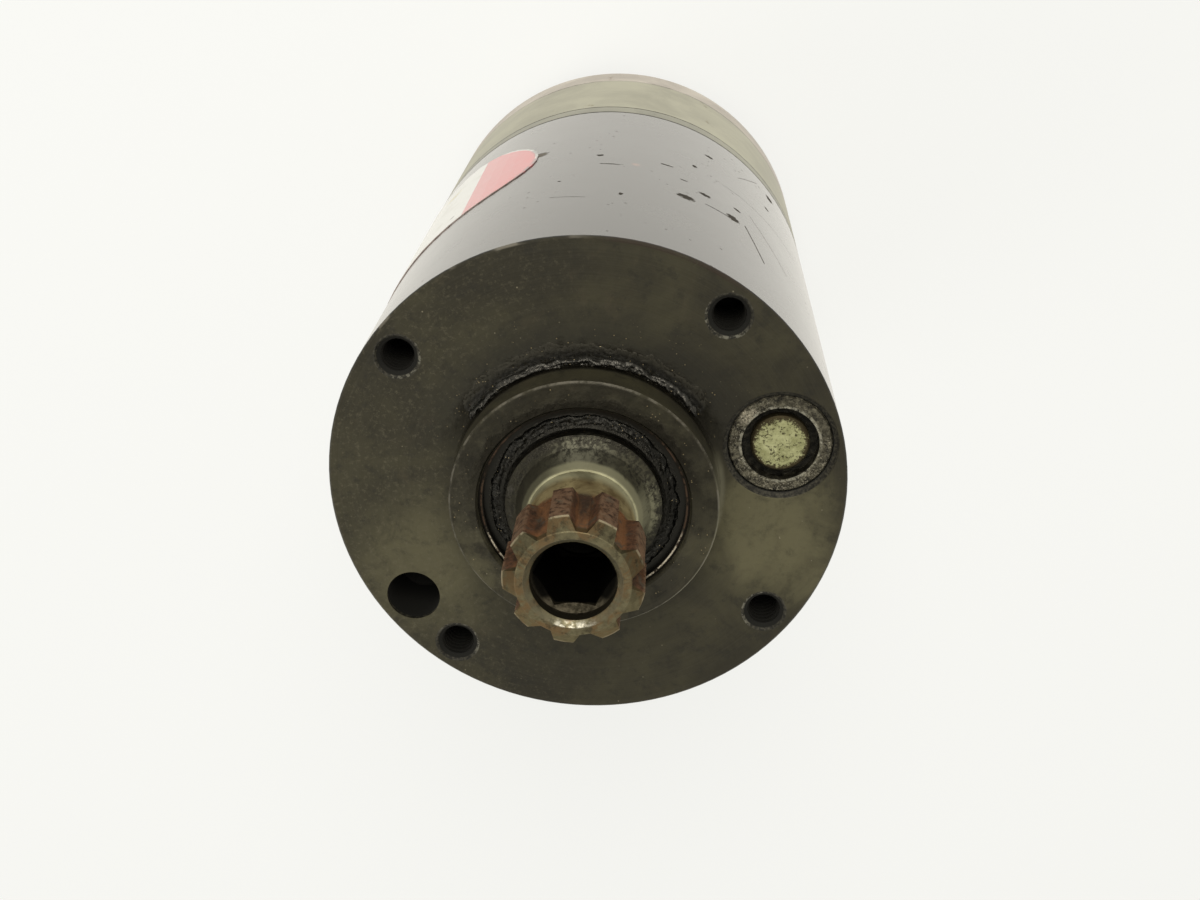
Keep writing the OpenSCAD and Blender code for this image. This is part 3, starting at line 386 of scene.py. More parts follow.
def edge_wear_and_highlight(s, angle):
    """Share of pale wear and painted highlight on the edges of the nose and the rim."""
    nose_edge = s.step(s.z, NOSE_Z - 0.0005, NOSE_Z - 0.00035)
    nose_edge = s.both(nose_edge, s.step(s.radius, NOSE_R - 0.00045, NOSE_R - 0.00025))
    nose_edge = s.mul(nose_edge, s.patches(0.42, 0.66, 420, 4, 0.7))
    # Rim bevel on the upper left: painted highlight with some wear
    rim = s.step(s.radius, BODY_R - 0.0006, BODY_R - 0.0003)
    rim = s.both(s.step(s.z, FACE_Z - 0.0007, FACE_Z - 0.00045), rim)
    rim = s.mul(rim, s.both(s.step(angle, 86, 98), s.step(angle, 150, 135)))
    rim = s.mul(rim, s.patches(0.5, 0.6, 130, 3))
    return s.either(s.mul(nose_edge, 0.45), s.mul(rim, 0.7))


def rim_grime(s, stain, angle):
    """Share of brown dirt on the rim, up on the right."""
    dirt = s.both(s.step(angle, 50, 60), s.step(angle, 90, 80))
    dirt = s.both(s.step(s.radius, BODY_R - 0.0010, BODY_R - 0.0006), dirt)
    dirt = s.mul(dirt, s.step(s.z, FACE_Z - 0.0012, FACE_Z - 0.0008))
    return s.mul(dirt, s.step(stain, 0.38, 0.52))


def hole_marks(s, color, rough, fine):
    """Countersinks and other recesses dark with oil and painted shade, with painted glints, and holes painted
    black as shade below them.

    Gives colour, roughness, what lies inside the rim and the port flat, and what is black."""
    hole = 1.0
    for point in HOLES:
        hole = s.both(hole, s.beside(point))
    near_face = s.step(s.z, FACE_Z - 0.0045, FACE_Z - 0.0040)
    # Dark ring of each countersink: oil and painted shade
    ring = s.mul(s.step(s.add(hole, s.sway(fine, 0.0005)), HOLE_RING_R, HOLE_RING_R - 0.0002), near_face)
    # Painted shade: black from the hole's edge down to the roots of its thread
    black = s.step(s.add(hole, s.sway(fine, 0.0003)), HOLE_ROOT_R + 0.0001, HOLE_ROOT_R - 0.00005)
    black = s.mul(black, near_face)
    # Painted highlight: pale glint spots on the countersinks, on the side towards the shaft
    wear_and_glint = s.both(s.step(hole, HOLE_ROOT_R, HOLE_ROOT_R + 0.00015), s.patches(0.50, 0.58, 700, 4, 0.7))
    wear_and_glint = s.mul(wear_and_glint, ring)
    wear_and_glint = s.mul(wear_and_glint, s.step(s.radius, HOLE_CIRCLE_R + 0.0015, HOLE_CIRCLE_R - 0.0015))
    inner = s.step(s.y, PORT_FLAT_Y + 0.0005, PORT_FLAT_Y + 0.0010)
    inner = s.both(s.step(s.radius, BODY_R - 0.0006, BODY_R - 0.0008), inner)
    sink = s.either(s.both(inner, s.step(s.z, FACE_Z - 0.00005, FACE_Z - 0.0002)), ring)
    # Recessed surfaces darker: oil and painted shade
    oil_and_shade = s.blend(s.patches(0.42, 0.62, 1500, 5, 0.75), (0.005, 0.0047, 0.0033), (0.042, 0.038, 0.026))
    color = s.blend(sink, color, oil_and_shade)
    color = s.blend(s.mul(wear_and_glint, 0.6), color, (0.17, 0.16, 0.12))
    # Painted shade: all that lies deep inside the rim, and the holes, is dark
    inside = s.either(s.both(inner, s.step(s.z, FACE_Z - 0.0008, FACE_Z - 0.0011)), black)
    color = s.blend(inside, color, (0.030, 0.029, 0.025))
    rough = s.lerp(inside, s.lerp(sink, rough, 0.6), 0.85)
    return color, rough, inner, inside


def housing_paint():
    """Glossy chipped paint on the barrel, matte greasy iron on the face and nose, painted highlights on some
    edges, and holes and recesses painted dark as shade.
    """
    s = Shade("housing_paint")
    fine = s.noise(900, 4, 0.65)
    blot = s.noise(55, 6, 0.62, bend=0.6)
    stain = s.noise(150, 5, 0.7, bend=0.4)
    turning = s.noise(1, 3, 0.7, at=s.join(s.mul(s.radius, 4200), s.mul(s.x, 8), s.mul(s.y, 8)))
    angle = s.turned()
    on_face = s.step(s.z, FACE_Z - 0.0005, FACE_Z - 0.00025)
    paint, paint_rough, chips, dull = barrel_paint(s, fine)
    face, wet = nose_smear(s, face_iron(s, blot, stain, turning), fine, angle)
    face = nose_band(s, face, blot, angle)
    face_rough = s.lerp(s.mul(wet, 0.8), s.add(0.5, s.mul(fine, 0.25)), 0.36)
    # Pale edges: wear and painted highlight
    wear_and_glint = edge_wear_and_highlight(s, angle)
    color = s.blend(on_face, paint, face)
    color = s.blend(wear_and_glint, color, (0.20, 0.18, 0.14))
    color = s.blend(s.mul(rim_grime(s, stain, angle), 0.85), color, (0.020, 0.013, 0.008))
    rough = s.lerp(on_face, paint_rough, face_rough)
    color, rough, inner, inside = hole_marks(s, color, rough, fine)
    coat = s.mul(s.flip(s.either(on_face, inner)), s.flip(dull))
    s.link(s.mul(coat, 0.89), s.bsdf.inputs["Coat Weight"])
    normal = s.bump(s.flip(chips), 0.00006)
    normal = s.bump(s.mul(fine, s.lerp(on_face, 0.015, 1.0)), 0.00004, normal)
    normal = s.bump(s.mul(s.noise(1100, 5, 0.7), s.mul(wet, on_face)), 0.00022, normal)
    normal = s.bump(s.mul(turning, on_face), 0.000012, normal)
    metal = s.either(s.either(s.mul(wear_and_glint, 0.6), inside), s.lerp(on_face, chips, s.mul(wet, 0.85)))
    s.bsdf.inputs["Specular IOR Level"].default_value = 0.27
    return s.finish(color, rough, metal, normal, coat_roughness=0.14, specular_tint=(1.0, 0.94, 0.82, 1))


def bare_metal(name, dark, light, stain, rough=0.4, metal=0.75, scale=60.0, stain_from=0.52, joints=()):
    """Dull bare steel with soft stains, fine marks along the turning direction and dirt in the joints."""
    s = Shade(name)
    at = s.wrapped()
    cloud = s.noise(scale, 5, 0.6, bend=0.4)
    lines = s.noise(1, 4, 0.7, at=s.vector("MULTIPLY", at, (60, 2600, 60)))
    color = s.blend(s.step(cloud, 0.3, 0.7), dark, light)
    color = s.blend(s.mul(s.step(lines, 0.45, 0.8), 0.35), color, light)
    rust = s.step(s.noise(scale * 2.4, 6, 0.7, bend=0.3), stain_from, stain_from + 0.16)
    color = s.blend(s.mul(rust, 0.8), color, stain)
    for level in joints:
        gap = s.math("ABSOLUTE", s.sub(s.z, level))
        gap = s.step(s.add(gap, s.sway(cloud, 0.0004)), 0.0006, 0.0002)
        color = s.blend(s.mul(gap, 0.85), color, (0.03, 0.028, 0.02))
    rough_map = s.add(rough, s.sway(cloud, 0.25))
    rough_map = s.lerp(rust, rough_map, 0.7)
    normal = s.bump(lines, 0.00001)
    normal = s.bump(s.noise(scale * 20, 4, 0.6), 0.00002, normal)
    return s.finish(color, rough_map, s.mul(s.flip(s.mul(rust, 0.8)), metal), normal)


def plain_steel(name, color, rough, metal=1.0):
    """Clean steel with a faint cloud of a lighter tone."""
    s = Shade(name)
    cloud = s.noise(500, 4, 0.6)
    lighter = tuple(1.35 * c for c in color)
    tone = s.blend(cloud, color, lighter)
    normal = s.bump(s.noise(2000, 3), 0.000008)
    return s.finish(tone, s.add(rough, s.sway(cloud, 0.15)), metal, normal)


def journal_steel(s, height, cloud):
    """Dark journal with wear and ragged grease at its root, painted light on its top and right, and painted
    shade on its left and down in the seal chamber. Gives its colour and the share of grease.
    """
    angle = s.turned()
    middle = s.mul(s.step(angle, 50, 84), s.step(angle, 128, 94))
    right = s.mul(s.step(angle, -35, -5), s.step(angle, 36, 10))
    journal = s.blend(s.step(cloud, 0.3, 0.7), (0.022, 0.020, 0.013), (0.060, 0.056, 0.036))
    # Paler on the top: wear and painted light
    journal = s.blend(s.mul(middle, s.step(cloud, 0.2, 0.6)), journal, (0.145, 0.138, 0.096))
    # Painted light: paler on the right side
    journal = s.blend(s.mul(right, s.step(height, 0.0070, 0.0092)), journal, (0.185, 0.176, 0.112))
    streaks = s.noise(1, 4, 0.7, at=s.join(s.mul(angle, 0.7), s.mul(s.z, 300), 0.0))
    journal = s.blend(s.mul(s.step(streaks, 0.5, 0.72), 0.5), journal, (0.035, 0.032, 0.022))
    ragged = s.sway(s.noise(420, 4, 0.7), 0.013)
    grease = s.step(s.add(height, ragged), 0.0098, 0.0072)
    # Painted shade: darker below the nose top, where the journal goes down into the seal chamber
    journal = s.blend(s.step(height, 0.0090, 0.0082), journal, s.blend(0.35, (0, 0, 0), journal))
    reach = s.lerp(right, 0.0128, 0.0108)
    spots = s.step(s.add(height, ragged), reach, s.sub(reach, 0.003))
    spots = s.mul(s.patches(0.42, 0.56, 1300, 4, 0.7), spots)
    journal = s.blend(s.mul(spots, 0.85), journal, (0.014, 0.013, 0.010))
    edge = s.step(s.add(height, s.sway(cloud, 0.001)), 0.0122, 0.0130)
    journal = s.blend(s.mul(edge, 0.7), journal, (0.25, 0.237, 0.147))
    # Painted shade: darker on the left side
    left = s.either(s.step(angle, 108, 130), s.step(angle, -100, -120))
    journal = s.blend(s.mul(left, 0.6), journal, (0.023, 0.021, 0.014))
    return s.blend(grease, journal, s.blend(s.grains(), (0.007, 0.0065, 0.005), (0.26, 0.19, 0.08))), grease


def neck_steel(s, height, cloud):
    """A pale greenish band, then olive that turns rusty."""
    neck = s.blend(s.step(cloud, 0.3, 0.7), (0.13, 0.090, 0.040), (0.33, 0.270, 0.135))
    neck = s.blend(s.mul(s.patches(0.52, 0.66, 520, 5, 0.7), 0.6), neck, (0.070, 0.045, 0.022))
    shoulder = s.blend(s.step(cloud, 0.3, 0.7), (0.20, 0.185, 0.110), (0.42, 0.40, 0.255))
    return s.blend(s.step(s.add(height, s.sway(cloud, 0.003)), 0.0190, 0.0155), neck, shoulder)


def spline_rust(s, fine, cloud):
    """Dark rust, orange in the slots, greyer on the tips."""
    rust = s.blend(s.step(fine, 0.3, 0.7), (0.034, 0.018, 0.011), (0.135, 0.062, 0.034))
    rust = s.blend(s.mul(s.step(cloud, 0.5, 0.72), 0.8), rust, (0.125, 0.050, 0.018))
    rust = s.blend(s.mul(s.patches(0.52, 0.66, 420, 5, 0.7), 0.6), rust, (0.016, 0.010, 0.007))
    floor = s.step(s.radius, SPLINE_ROOT_R + 0.00105, SPLINE_ROOT_R + 0.00025)
    streak = s.noise(1, 4, 0.6, at=s.join(s.mul(s.x, 420), s.mul(s.y, 420), s.mul(s.z, 130)))
    slot = s.blend(s.step(streak, 0.36, 0.64), (0.036, 0.023, 0.016), (0.225, 0.102, 0.042))
    rust = s.blend(s.mul(floor, 0.75), rust, slot)
    rust = s.blend(s.patches(0.56, 0.7, 330, 3), rust, (0.075, 0.060, 0.042))
    tip = s.mul(s.step(s.radius, SPLINE_R - 0.0006, SPLINE_R - 0.0001), s.step(fine, 0.35, 0.6))
    return s.blend(s.mul(tip, 0.7), rust, (0.180, 0.112, 0.068))


def shaft_end(s, color, fine):
    """Sloped tooth ends with bright edges of wear, tan end face, and the lip of its mouth, with painted light
    and shade on the slopes and a painted glint low on the lip.

    Gives the colour and the shares of slope, end face and painted glint."""
    # Painted light and shade: the slopes of the upper teeth darker, those of the lower teeth paler
    low_side = s.step(s.y, 0.002, -0.006)
    slope_on = s.step(s.radius, SPLINE_ROOT_R - 0.0002, SPLINE_ROOT_R - 0.00005)
    slope_on = s.both(s.step(s.z, TIP_Z - 0.00175, TIP_Z - 0.00150), slope_on)
    blotch = s.noise(170, 5, 0.7, bend=0.6)
    olive = s.blend(s.step(fine, 0.3, 0.7), (0.080, 0.068, 0.036), (0.128, 0.111, 0.060))
    olive = s.blend(s.mul(s.step(blotch, 0.44, 0.58), 0.75), olive, (0.115, 0.066, 0.027))
    olive = s.blend(s.mul(s.patches(0.52, 0.64, 360, 5, 0.75), 0.7), olive, (0.030, 0.024, 0.013))
    ends = s.blend(low_side, s.blend(0.62, (0, 0, 0), olive), s.blend(0.2, olive, (0.14, 0.119, 0.062)))
    color = s.blend(slope_on, color, ends)
    edge = s.math("ABSOLUTE", s.sub(s.z, TIP_Z - 0.0016))
    edge = s.both(s.step(edge, 0.00022, 0.00010), s.step(s.radius, SPLINE_R - 0.0008, SPLINE_R - 0.0004))
    edge = s.mul(edge, s.patches(0.4, 0.55, 500, 3))
    color = s.blend(s.mul(edge, 0.6), color, (0.27, 0.225, 0.145))
    end_on = s.step(s.radius, SPLINE_ROOT_R + 0.00015, SPLINE_ROOT_R - 0.00005)
    end_on = s.both(s.step(s.z, TIP_Z - 0.0018, TIP_Z - 0.0015), end_on)
    color = s.blend(end_on, color, olive)
    lip = s.step(s.radius, MOUTH_R + 0.0012, MOUTH_R + 0.0009)
    lip = s.both(lip, s.step(s.z, TIP_Z - 0.0012, TIP_Z - 0.0004))
    # Painted highlight low on the lip of the mouth
    glint = s.mul(lip, s.step(s.y, -0.0068, -0.0083))
    color = s.blend(s.mul(lip, 0.5), color, (0.125, 0.112, 0.070))
    color = s.blend(s.mul(glint, s.step(fine, 0.42, 0.6)), color, (0.33, 0.305, 0.235))
    return color, slope_on, end_on, glint


def socket_shade_and_glint(s, fine, cloud):
    """Painted shade, black deep in the socket and less so near its mouth, with a painted highlight on the
    grey start of its lowest flat. Gives its colour and its share.
    """
    socket = s.step(s.radius, MOUTH_R + 0.0003, MOUTH_R + 0.0001)
    socket = s.both(socket, s.step(s.z, TIP_Z - 0.030, TIP_Z - 0.029))
    socket = s.both(socket, s.step(s.z, TIP_Z - 0.0009, TIP_Z - 0.0012))
    # Painted highlight: the grey start of the lowest flat, low in the socket
    lens = s.mul(s.step(s.y, -0.0045, -0.0056), s.step(s.z, TIP_Z - 0.0053, TIP_Z - 0.0046))
    lens = s.mul(lens, s.step(s.z, TIP_Z - 0.0026, TIP_Z - 0.0032))
    # Painted shade: near black inside, less dark close to the mouth
    dark = s.blend(cloud, (0.003, 0.003, 0.0025), (0.009, 0.008, 0.006))
    dark = s.blend(s.step(s.z, TIP_Z - 0.0040, TIP_Z - 0.0030), dark, (0.040, 0.034, 0.022))
    grey = s.blend(s.step(fine, 0.35, 0.65), (0.025, 0.021, 0.013), (0.085, 0.072, 0.048))
    return s.blend(lens, dark, grey), socket


def shaft_steel():
    """Greasy journal with wear, olive neck, rusty spline and tan end face, with painted light and shade on
    journal, slopes and lip, and a socket painted black as shade.
    """
    s = Shade("shaft_steel")
    fine = s.noise(900, 5, 0.65)
    cloud = s.noise(160, 5, 0.6, bend=0.5)
    height = s.sub(s.z, FACE_Z)
    color, grease = journal_steel(s, height, cloud)
    color = s.blend(s.step(height, 0.0138, 0.0146), color, neck_steel(s, height, cloud))
    spline_on = s.step(s.add(height, s.sway(cloud, 0.009)), 0.0228, 0.0250)
    color = s.blend(spline_on, color, spline_rust(s, fine, cloud))
    color, slope_on, end_on, glint = shaft_end(s, color, fine)
    socket_tone, socket = socket_shade_and_glint(s, fine, cloud)
    color = s.blend(socket, color, socket_tone)
    rough = s.lerp(spline_on, s.lerp(grease, s.add(0.54, s.mul(cloud, 0.2)), 0.3), 0.6)
    rough = s.lerp(s.mul(end_on, 0.8), rough, 0.45)
    rough = s.lerp(glint, rough, 0.32)
    rough = s.lerp(socket, rough, 0.6)
    metal = s.lerp(spline_on, s.lerp(grease, 0.75, 0.6), 0.55)
    metal = s.lerp(slope_on, metal, 0.85)
    metal = s.lerp(end_on, metal, 0.75)
    metal = s.lerp(glint, metal, 0.95)
    metal = s.lerp(socket, metal, 1.0)
    normal = s.bump(fine, s.lerp(spline_on, 0.00002, 0.00012))
    normal = s.bump(s.noise(260, 3), s.lerp(spline_on, 0.00001, 0.00015), normal)
    normal = s.bump(s.mul(grease, s.noise(700, 4, 0.7)), 0.0002, normal)
    return s.finish(color, rough, metal, normal, specular_tint=(1.0, 0.90, 0.68, 1))


def label_film():
    """Gloss film with a red field at its upper end, a thin white border and a white rest; no print."""
    s = Shade("label_film")
    # Angle round the shaft without a jump on the label's side
    arc = s.mul(s.math("ARCTAN2", s.y, s.mul(s.x, -1)), -1)
    angle = s.add(s.mul(arc, 180 / math.pi), 180)
    depth = s.sub(FACE_Z, s.z)
    per_degree = math.radians(1) * BODY_R
    # Round end: distance from the centre of its half circle
    end_r = LABEL_W / 2
    u = s.sub(s.mul(s.sub(angle, LABEL_ANGLE), per_degree), end_r)
    v = s.sub(depth, LABEL_FRONT + end_r)
    edge = s.length(s.either(s.mul(u, -1), 0.0), v)
    border = s.step(edge, end_r - 0.0008, end_r - 0.0006)
    border = s.mul(border, s.both(s.step(v, -0.004, 0.002), s.step(angle, 121, 117)))
    red_on = s.both(s.step(angle, 125.25, 125.0), s.flip(border))
    smear = s.noise(200, 5, 0.6)
    white = s.blend(s.step(smear, 0.5, 0.75), (0.72, 0.72, 0.67), (0.56, 0.55, 0.46))
    red = s.blend(smear, (0.60, 0.030, 0.045), (0.70, 0.060, 0.070))
    color = s.blend(red_on, white, red)
    # Cut edge of the film, which faces up or down, brown with dirt and painted shade of the film's thickness
    split = s.tree.nodes.new("ShaderNodeSeparateXYZ")
    s.link(s.tree.nodes.new("ShaderNodeNewGeometry").outputs["Normal"], split.inputs[0])
    cut = s.step(s.math("ABSOLUTE", split.outputs[2]), 0.3, 0.6)
    # Long yellow stain, which lets no gloss through
    stain = s.length(s.mul(s.sub(angle, 135.5), per_degree / 0.0032), s.mul(s.sub(depth, 0.0845), 1 / 0.0011))
    stained = s.step(s.add(stain, s.sway(smear, 1.0)), 1.2, 0.6)
    color = s.blend(stained, color, (0.50, 0.42, 0.14))
    s.link(s.mul(s.flip(s.mul(s.either(stained, cut), 0.8)), 0.9), s.bsdf.inputs["Coat Weight"])
    dot = s.near(polar(BODY_R, 129, FACE_Z - 0.052), 0.0005, 0.0004)
    color = s.blend(dot, color, (0.03, 0.03, 0.03))
    grime = s.both(s.step(edge, end_r - 0.0006, end_r - 0.0002), s.patches(0.4, 0.6, 260, 4))
    tip = s.both(s.step(edge, end_r - 0.0014, end_r - 0.0003), s.step(angle, 112, 109.5))
    grime = s.either(grime, s.mul(tip, s.patches(0.35, 0.55, 420, 4)))
    color = s.blend(s.mul(grime, 0.8), color, (0.035, 0.032, 0.026))
    # Cut edge: dirt and painted shade
    color = s.blend(cut, color, (0.26, 0.20, 0.17))
    normal = s.bump(s.noise(120, 2), 0.00005)
    return s.finish(color, s.add(0.26, s.mul(smear, 0.12)), 0.0, normal, coat_roughness=0.16)


def snap_ring():
    """Dirty snap ring with painted glints low on both sides."""
    s = Shade("snap_steel")
    angle = s.turned()
    beads = s.patches(0.40, 0.52, 900, 3, 0.6)
    right = s.mul(s.step(angle, -62, -52), s.step(angle, -12, -26))
    left = s.mul(s.step(angle, -166, -156), s.step(angle, -128, -138))
    line = s.step(s.math("ABSOLUTE", s.sub(s.radius, CHAMBER_R - 0.00055)), 0.00022, 0.00010)
    # Painted highlight: bright beads on a line round the ring, low on both sides
    glint = s.mul(s.mul(s.either(right, left), beads), line)
    side = s.step(s.math("ABSOLUTE", s.sub(angle, 90)), 30, 55)
    thin = s.mul(s.mul(line, side), s.patches(0.42, 0.56, 420, 4, 0.7))
    dirt = s.blend(s.noise(500, 4, 0.7), (0.005, 0.0045, 0.003), (0.018, 0.014, 0.009))
    dirt = s.blend(s.mul(thin, 0.7), dirt, (0.085, 0.052, 0.032))
    color = s.blend(glint, dirt, (0.50, 0.435, 0.32))
    return s.finish(color, s.lerp(glint, 0.42, 0.2), 0.9, s.bump(s.noise(1300, 3), 0.00006))


def seal_rubber():
    """Black lumpy rubber, wet with oil."""
    s = Shade("seal_rubber")
    lumps = s.noise(900, 5, 0.65)
    color = s.blend(s.step(lumps, 0.5, 0.8), (0.004, 0.004, 0.003), (0.018, 0.017, 0.013))
    normal = s.bump(lumps, 0.00045)
    normal = s.bump(s.noise(2600, 3, 0.6), 0.00010, normal)
    return s.finish(color, s.add(0.2, s.mul(lumps, 0.25)), 0.5, normal, specular_tint=(1.0, 0.92, 0.76, 1))


def grease_look():
    """Wet black gritty grease with bright grains of dirt in it."""
    s = Shade("grease")
    lumps = s.noise(1300, 5, 0.7)
    grains = s.grains()
    color = s.blend(s.step(lumps, 0.4, 0.8), (0.004, 0.004, 0.0035), (0.016, 0.015, 0.012))
    grain_tone = s.blend(s.noise(700, 1), (0.16, 0.14, 0.10), (0.42, 0.32, 0.15))
    color = s.blend(grains, color, grain_tone)
    fade = s.step(s.add(s.radius, s.sway(lumps, 0.002)), NOSE_R + 0.0018, NOSE_R + 0.0040)
    color = s.blend(s.mul(fade, s.flip(grains)), color, (0.021, 0.019, 0.013))
    normal = s.bump(lumps, 0.00012)
    foot = s.step(s.radius, NOSE_R - 0.002, NOSE_R - 0.001)
    rough = s.lerp(foot, s.add(0.16, s.mul(lumps, 0.22)), 0.22)
    outside = s.step(s.radius, NOSE_R + 0.0014, NOSE_R + 0.0024)
    rough = s.lerp(outside, rough, 0.5)
    metal = s.lerp(foot, 0.7, s.mul(outside, 0.6))
    return s.finish(color, s.lerp(grains, rough, 0.5), metal, normal, specular_tint=(1.0, 0.93, 0.78, 1))


def plug_iron():
    """Rough dark ring of the relief valve, speckled pale, with a painted highlight on its upper left and a
    bright edge round its well, which is dark with oil and painted shade.
    """
    s = Shade("plug_iron")
    lumps = s.noise(800, 5, 0.7)
    out = s.beside(PLUG)
    color = s.blend(s.step(lumps, 0.4, 0.75), (0.034, 0.030, 0.019), (0.165, 0.148, 0.100))
    pits = s.patches(0.50, 0.60, 700, 5, 0.75)
    color = s.blend(s.mul(pits, 0.8), color, (0.007, 0.0062, 0.0045))
    pale = s.mul(s.patches(0.53, 0.60, 2300, 5, 0.8), s.step(s.z, FACE_Z - 0.0014, FACE_Z - 0.0010))
    pale = s.mul(pale, s.step(s.add(s.noise(300, 3), s.mul(s.sub(0.009, s.y), 12)), 0.42, 0.60))
    color = s.blend(s.mul(pale, 0.8), color, (0.30, 0.27, 0.195))
    # Painted highlight on the ring's top, upper left
    lit_patch = s.near(PLUG + polar(0.0087, 138, FACE_Z), 0.0012, 0.0014, s.sway(lumps, 0.003))
    lit_patch = s.mul(lit_patch, s.patches(0.38, 0.55, 1700, 4, 0.7))
    color = s.blend(s.mul(lit_patch, 0.85), color, (0.34, 0.30, 0.215))
    # Well round the disc: dark with oil and painted shade
    well = s.step(out, WELL_R + 0.00002, WELL_R - 0.00005)
    color = s.blend(s.mul(well, 0.8), color, (0.007, 0.0065, 0.005))
    rim = s.step(out, WELL_R + 0.0007, WELL_R + 0.0003)
    rim = s.both(rim, s.step(s.z, FACE_Z - 0.00125, FACE_Z - 0.0010))
    rim = s.mul(s.mul(rim, s.flip(well)), s.patches(0.44, 0.56, 900, 5, 0.75))
    color = s.blend(s.mul(rim, 0.75), color, (0.30, 0.28, 0.21))
    normal = s.bump(lumps, 0.00045)
    return s.finish(color, s.add(0.3, s.mul(lumps, 0.35)), 0.85, normal)


def adjuster_disc():
    """Pale greenish cream disc with dark specks, more of them near its edge."""
    s = Shade("adjuster_disc")
    cloud = s.noise(420, 6, 0.7)
    out = s.beside(PLUG)
    edge = s.step(out, 0.0040, 0.0062)
    clumps = s.add(s.mul(s.noise(2300, 4, 0.75), 0.65), s.mul(s.noise(700, 4, 0.7, bend=0.5), 0.35))
    specks = s.step(s.add(clumps, s.mul(edge, 0.22)), 0.50, 0.60)
    color = s.blend(s.step(cloud, 0.35, 0.7), (0.22, 0.217, 0.085), (0.42, 0.415, 0.205))
    color = s.blend(s.mul(edge, 0.35), color, (0.23, 0.20, 0.095))
    color = s.blend(s.mul(specks, 0.95), color, (0.034, 0.024, 0.012))
    normal = s.bump(cloud, 0.00008)
    return s.finish(color, 0.6, s.mul(specks, 0.9), normal)


LOOKS = {
    "paint": housing_paint(),
    "plate": bare_metal("plate_steel", (0.22, 0.215, 0.16), (0.37, 0.36, 0.28), (0.12, 0.085, 0.045), 0.38,
                        stain_from=0.6, joints=(HOUSE_Z, PLATE_Z)),
    "ring": bare_metal("ring_steel", (0.32, 0.305, 0.215), (0.49, 0.475, 0.36), (0.20, 0.14, 0.07), 0.4,
                       stain_from=0.62, joints=(PLATE_Z, RING_Z)),
    "cap": bare_metal("cap_iron", (0.42, 0.375, 0.322), (0.62, 0.565, 0.488), (0.22, 0.15, 0.09), 0.45, 0.6,
                      stain_from=0.6, joints=(RING_Z,)),
    "screw": bare_metal("screw_steel", (0.05, 0.05, 0.048), (0.12, 0.115, 0.11), (0.13, 0.06, 0.03), 0.4,
                        0.8, scale=200.0),
    "washer": bare_metal("washer_steel", (0.22, 0.21, 0.18), (0.38, 0.36, 0.31), (0.15, 0.09, 0.05), 0.38,
                         0.9, scale=160.0),
    # Nearly black: painted shade inside the tapped holes and ports
    "thread": plain_steel("thread_steel", (0.020, 0.019, 0.016), 0.9),
    "snap": snap_ring(),
    "gland": plain_steel("gland_iron", (0.014, 0.013, 0.010), 0.35, 0.9),
    "shaft": shaft_steel(),
    "inner": plain_steel("ground_steel", (0.42, 0.42, 0.40), 0.22),
    "cage": plain_steel("cage_steel", (0.40, 0.34, 0.20), 0.3),
    "leaf": plain_steel("leaf_steel", (0.10, 0.13, 0.20), 0.25),
    "label": label_film(),
    "rubber": seal_rubber(),
    "plug": plug_iron(),
    "disc": adjuster_disc(),
    "grease": grease_look(),
}
NODE_LOOKS = {
    "housing": "paint", "spacer_plate": "plate", "gear_ring": "ring", "end_cap": "cap",
    "cap_screws": "screw", "ball_stop_screw": "screw", "screw_washers": "washer",
    "housing_o_ring": "rubber", "plate_o_ring": "rubber", "cap_o_ring": "rubber",
    "label": "label", "retaining_ring": "snap", "seal_gland": "gland",
    "dust_seal": "rubber", "shaft_seal": "rubber", "gland_o_ring": "rubber", "front_race": "inner",
    "needle_cage": "cage", "needle_rollers": "inner", "rear_race": "inner", "input_spool": "shaft",
    "valve_sleeve": "inner", "cross_pin": "inner", "flat_leaf_springs": "leaf", "curved_leaf_springs": "leaf",
    "drive_link": "inner", "drive_spacer": "inner", "rotor": "inner", "check_ball": "inner",
    "relief_plug": "plug", "relief_adjuster": "disc", "plug_o_ring": "rubber", "relief_spring": "leaf",
    "relief_poppet": "inner",
}
for node_name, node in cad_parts.items():
    node.data.materials.clear()
    node.data.materials.append(LOOKS[NODE_LOOKS[node_name]])


# Pieces that are too fine for the solids
def add_mesh(name, verts, faces, look, body):
    """A smooth mesh in one look, which moves with a body."""
    mesh = bpy.data.meshes.new(name)
    mesh.from_pydata([tuple(v) for v in verts], [], faces)
    mesh.update()
    work = bmesh.new()
    work.from_mesh(mesh)
    bmesh.ops.recalc_face_normals(work, faces=work.faces)
    work.to_mesh(mesh)
    work.free()
    for face in mesh.polygons:
        face.use_smooth = True
    mesh.materials.append(LOOKS[look])
    obj = bpy.data.objects.new(name, mesh)
    bpy.context.collection.objects.link(obj)
    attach(obj, body)


def thread(name, start, axis, r, pitch, length, depth, per_turn=36):
    """Helical ridge that stands in from the wall of a hole. The hole runs from start against axis."""
    axis = Vector(axis)
    side = axis.orthogonal().normalized()
    other = axis.cross(side)
    steps = round(length / pitch * per_turn)
    run_out = 12
    wall = r + 0.00004
    crest = r - depth
    # Radius and place along the axis, as a share of the pitch
    profile = [(wall, -0.4508), (crest, -0.0882), (crest, 0.0882), (wall, 0.4508)]
    verts = []
    for i in range(steps + 1):
        a = 2 * math.pi * i / per_turn
        radial = side * math.cos(a) + other * math.sin(a)
        fade = min(1.0, i / run_out, (steps - i) / run_out)
        for ridge, along in profile:
            out = wall - (wall - ridge) * fade
            verts.append(start + radial * out - axis * pitch * (i / per_turn + along))
    n = len(profile)
    faces = [(j * n + k, (j + 1) * n + k, (j + 1) * n + (k + 1) % n, j * n + (k + 1) % n)
             for j in range(steps) for k in range(n)]
    faces += [tuple(range(n)), tuple(reversed(range(steps * n, steps * n + n)))]
    add_mesh(name, verts, faces, "thread", "body")


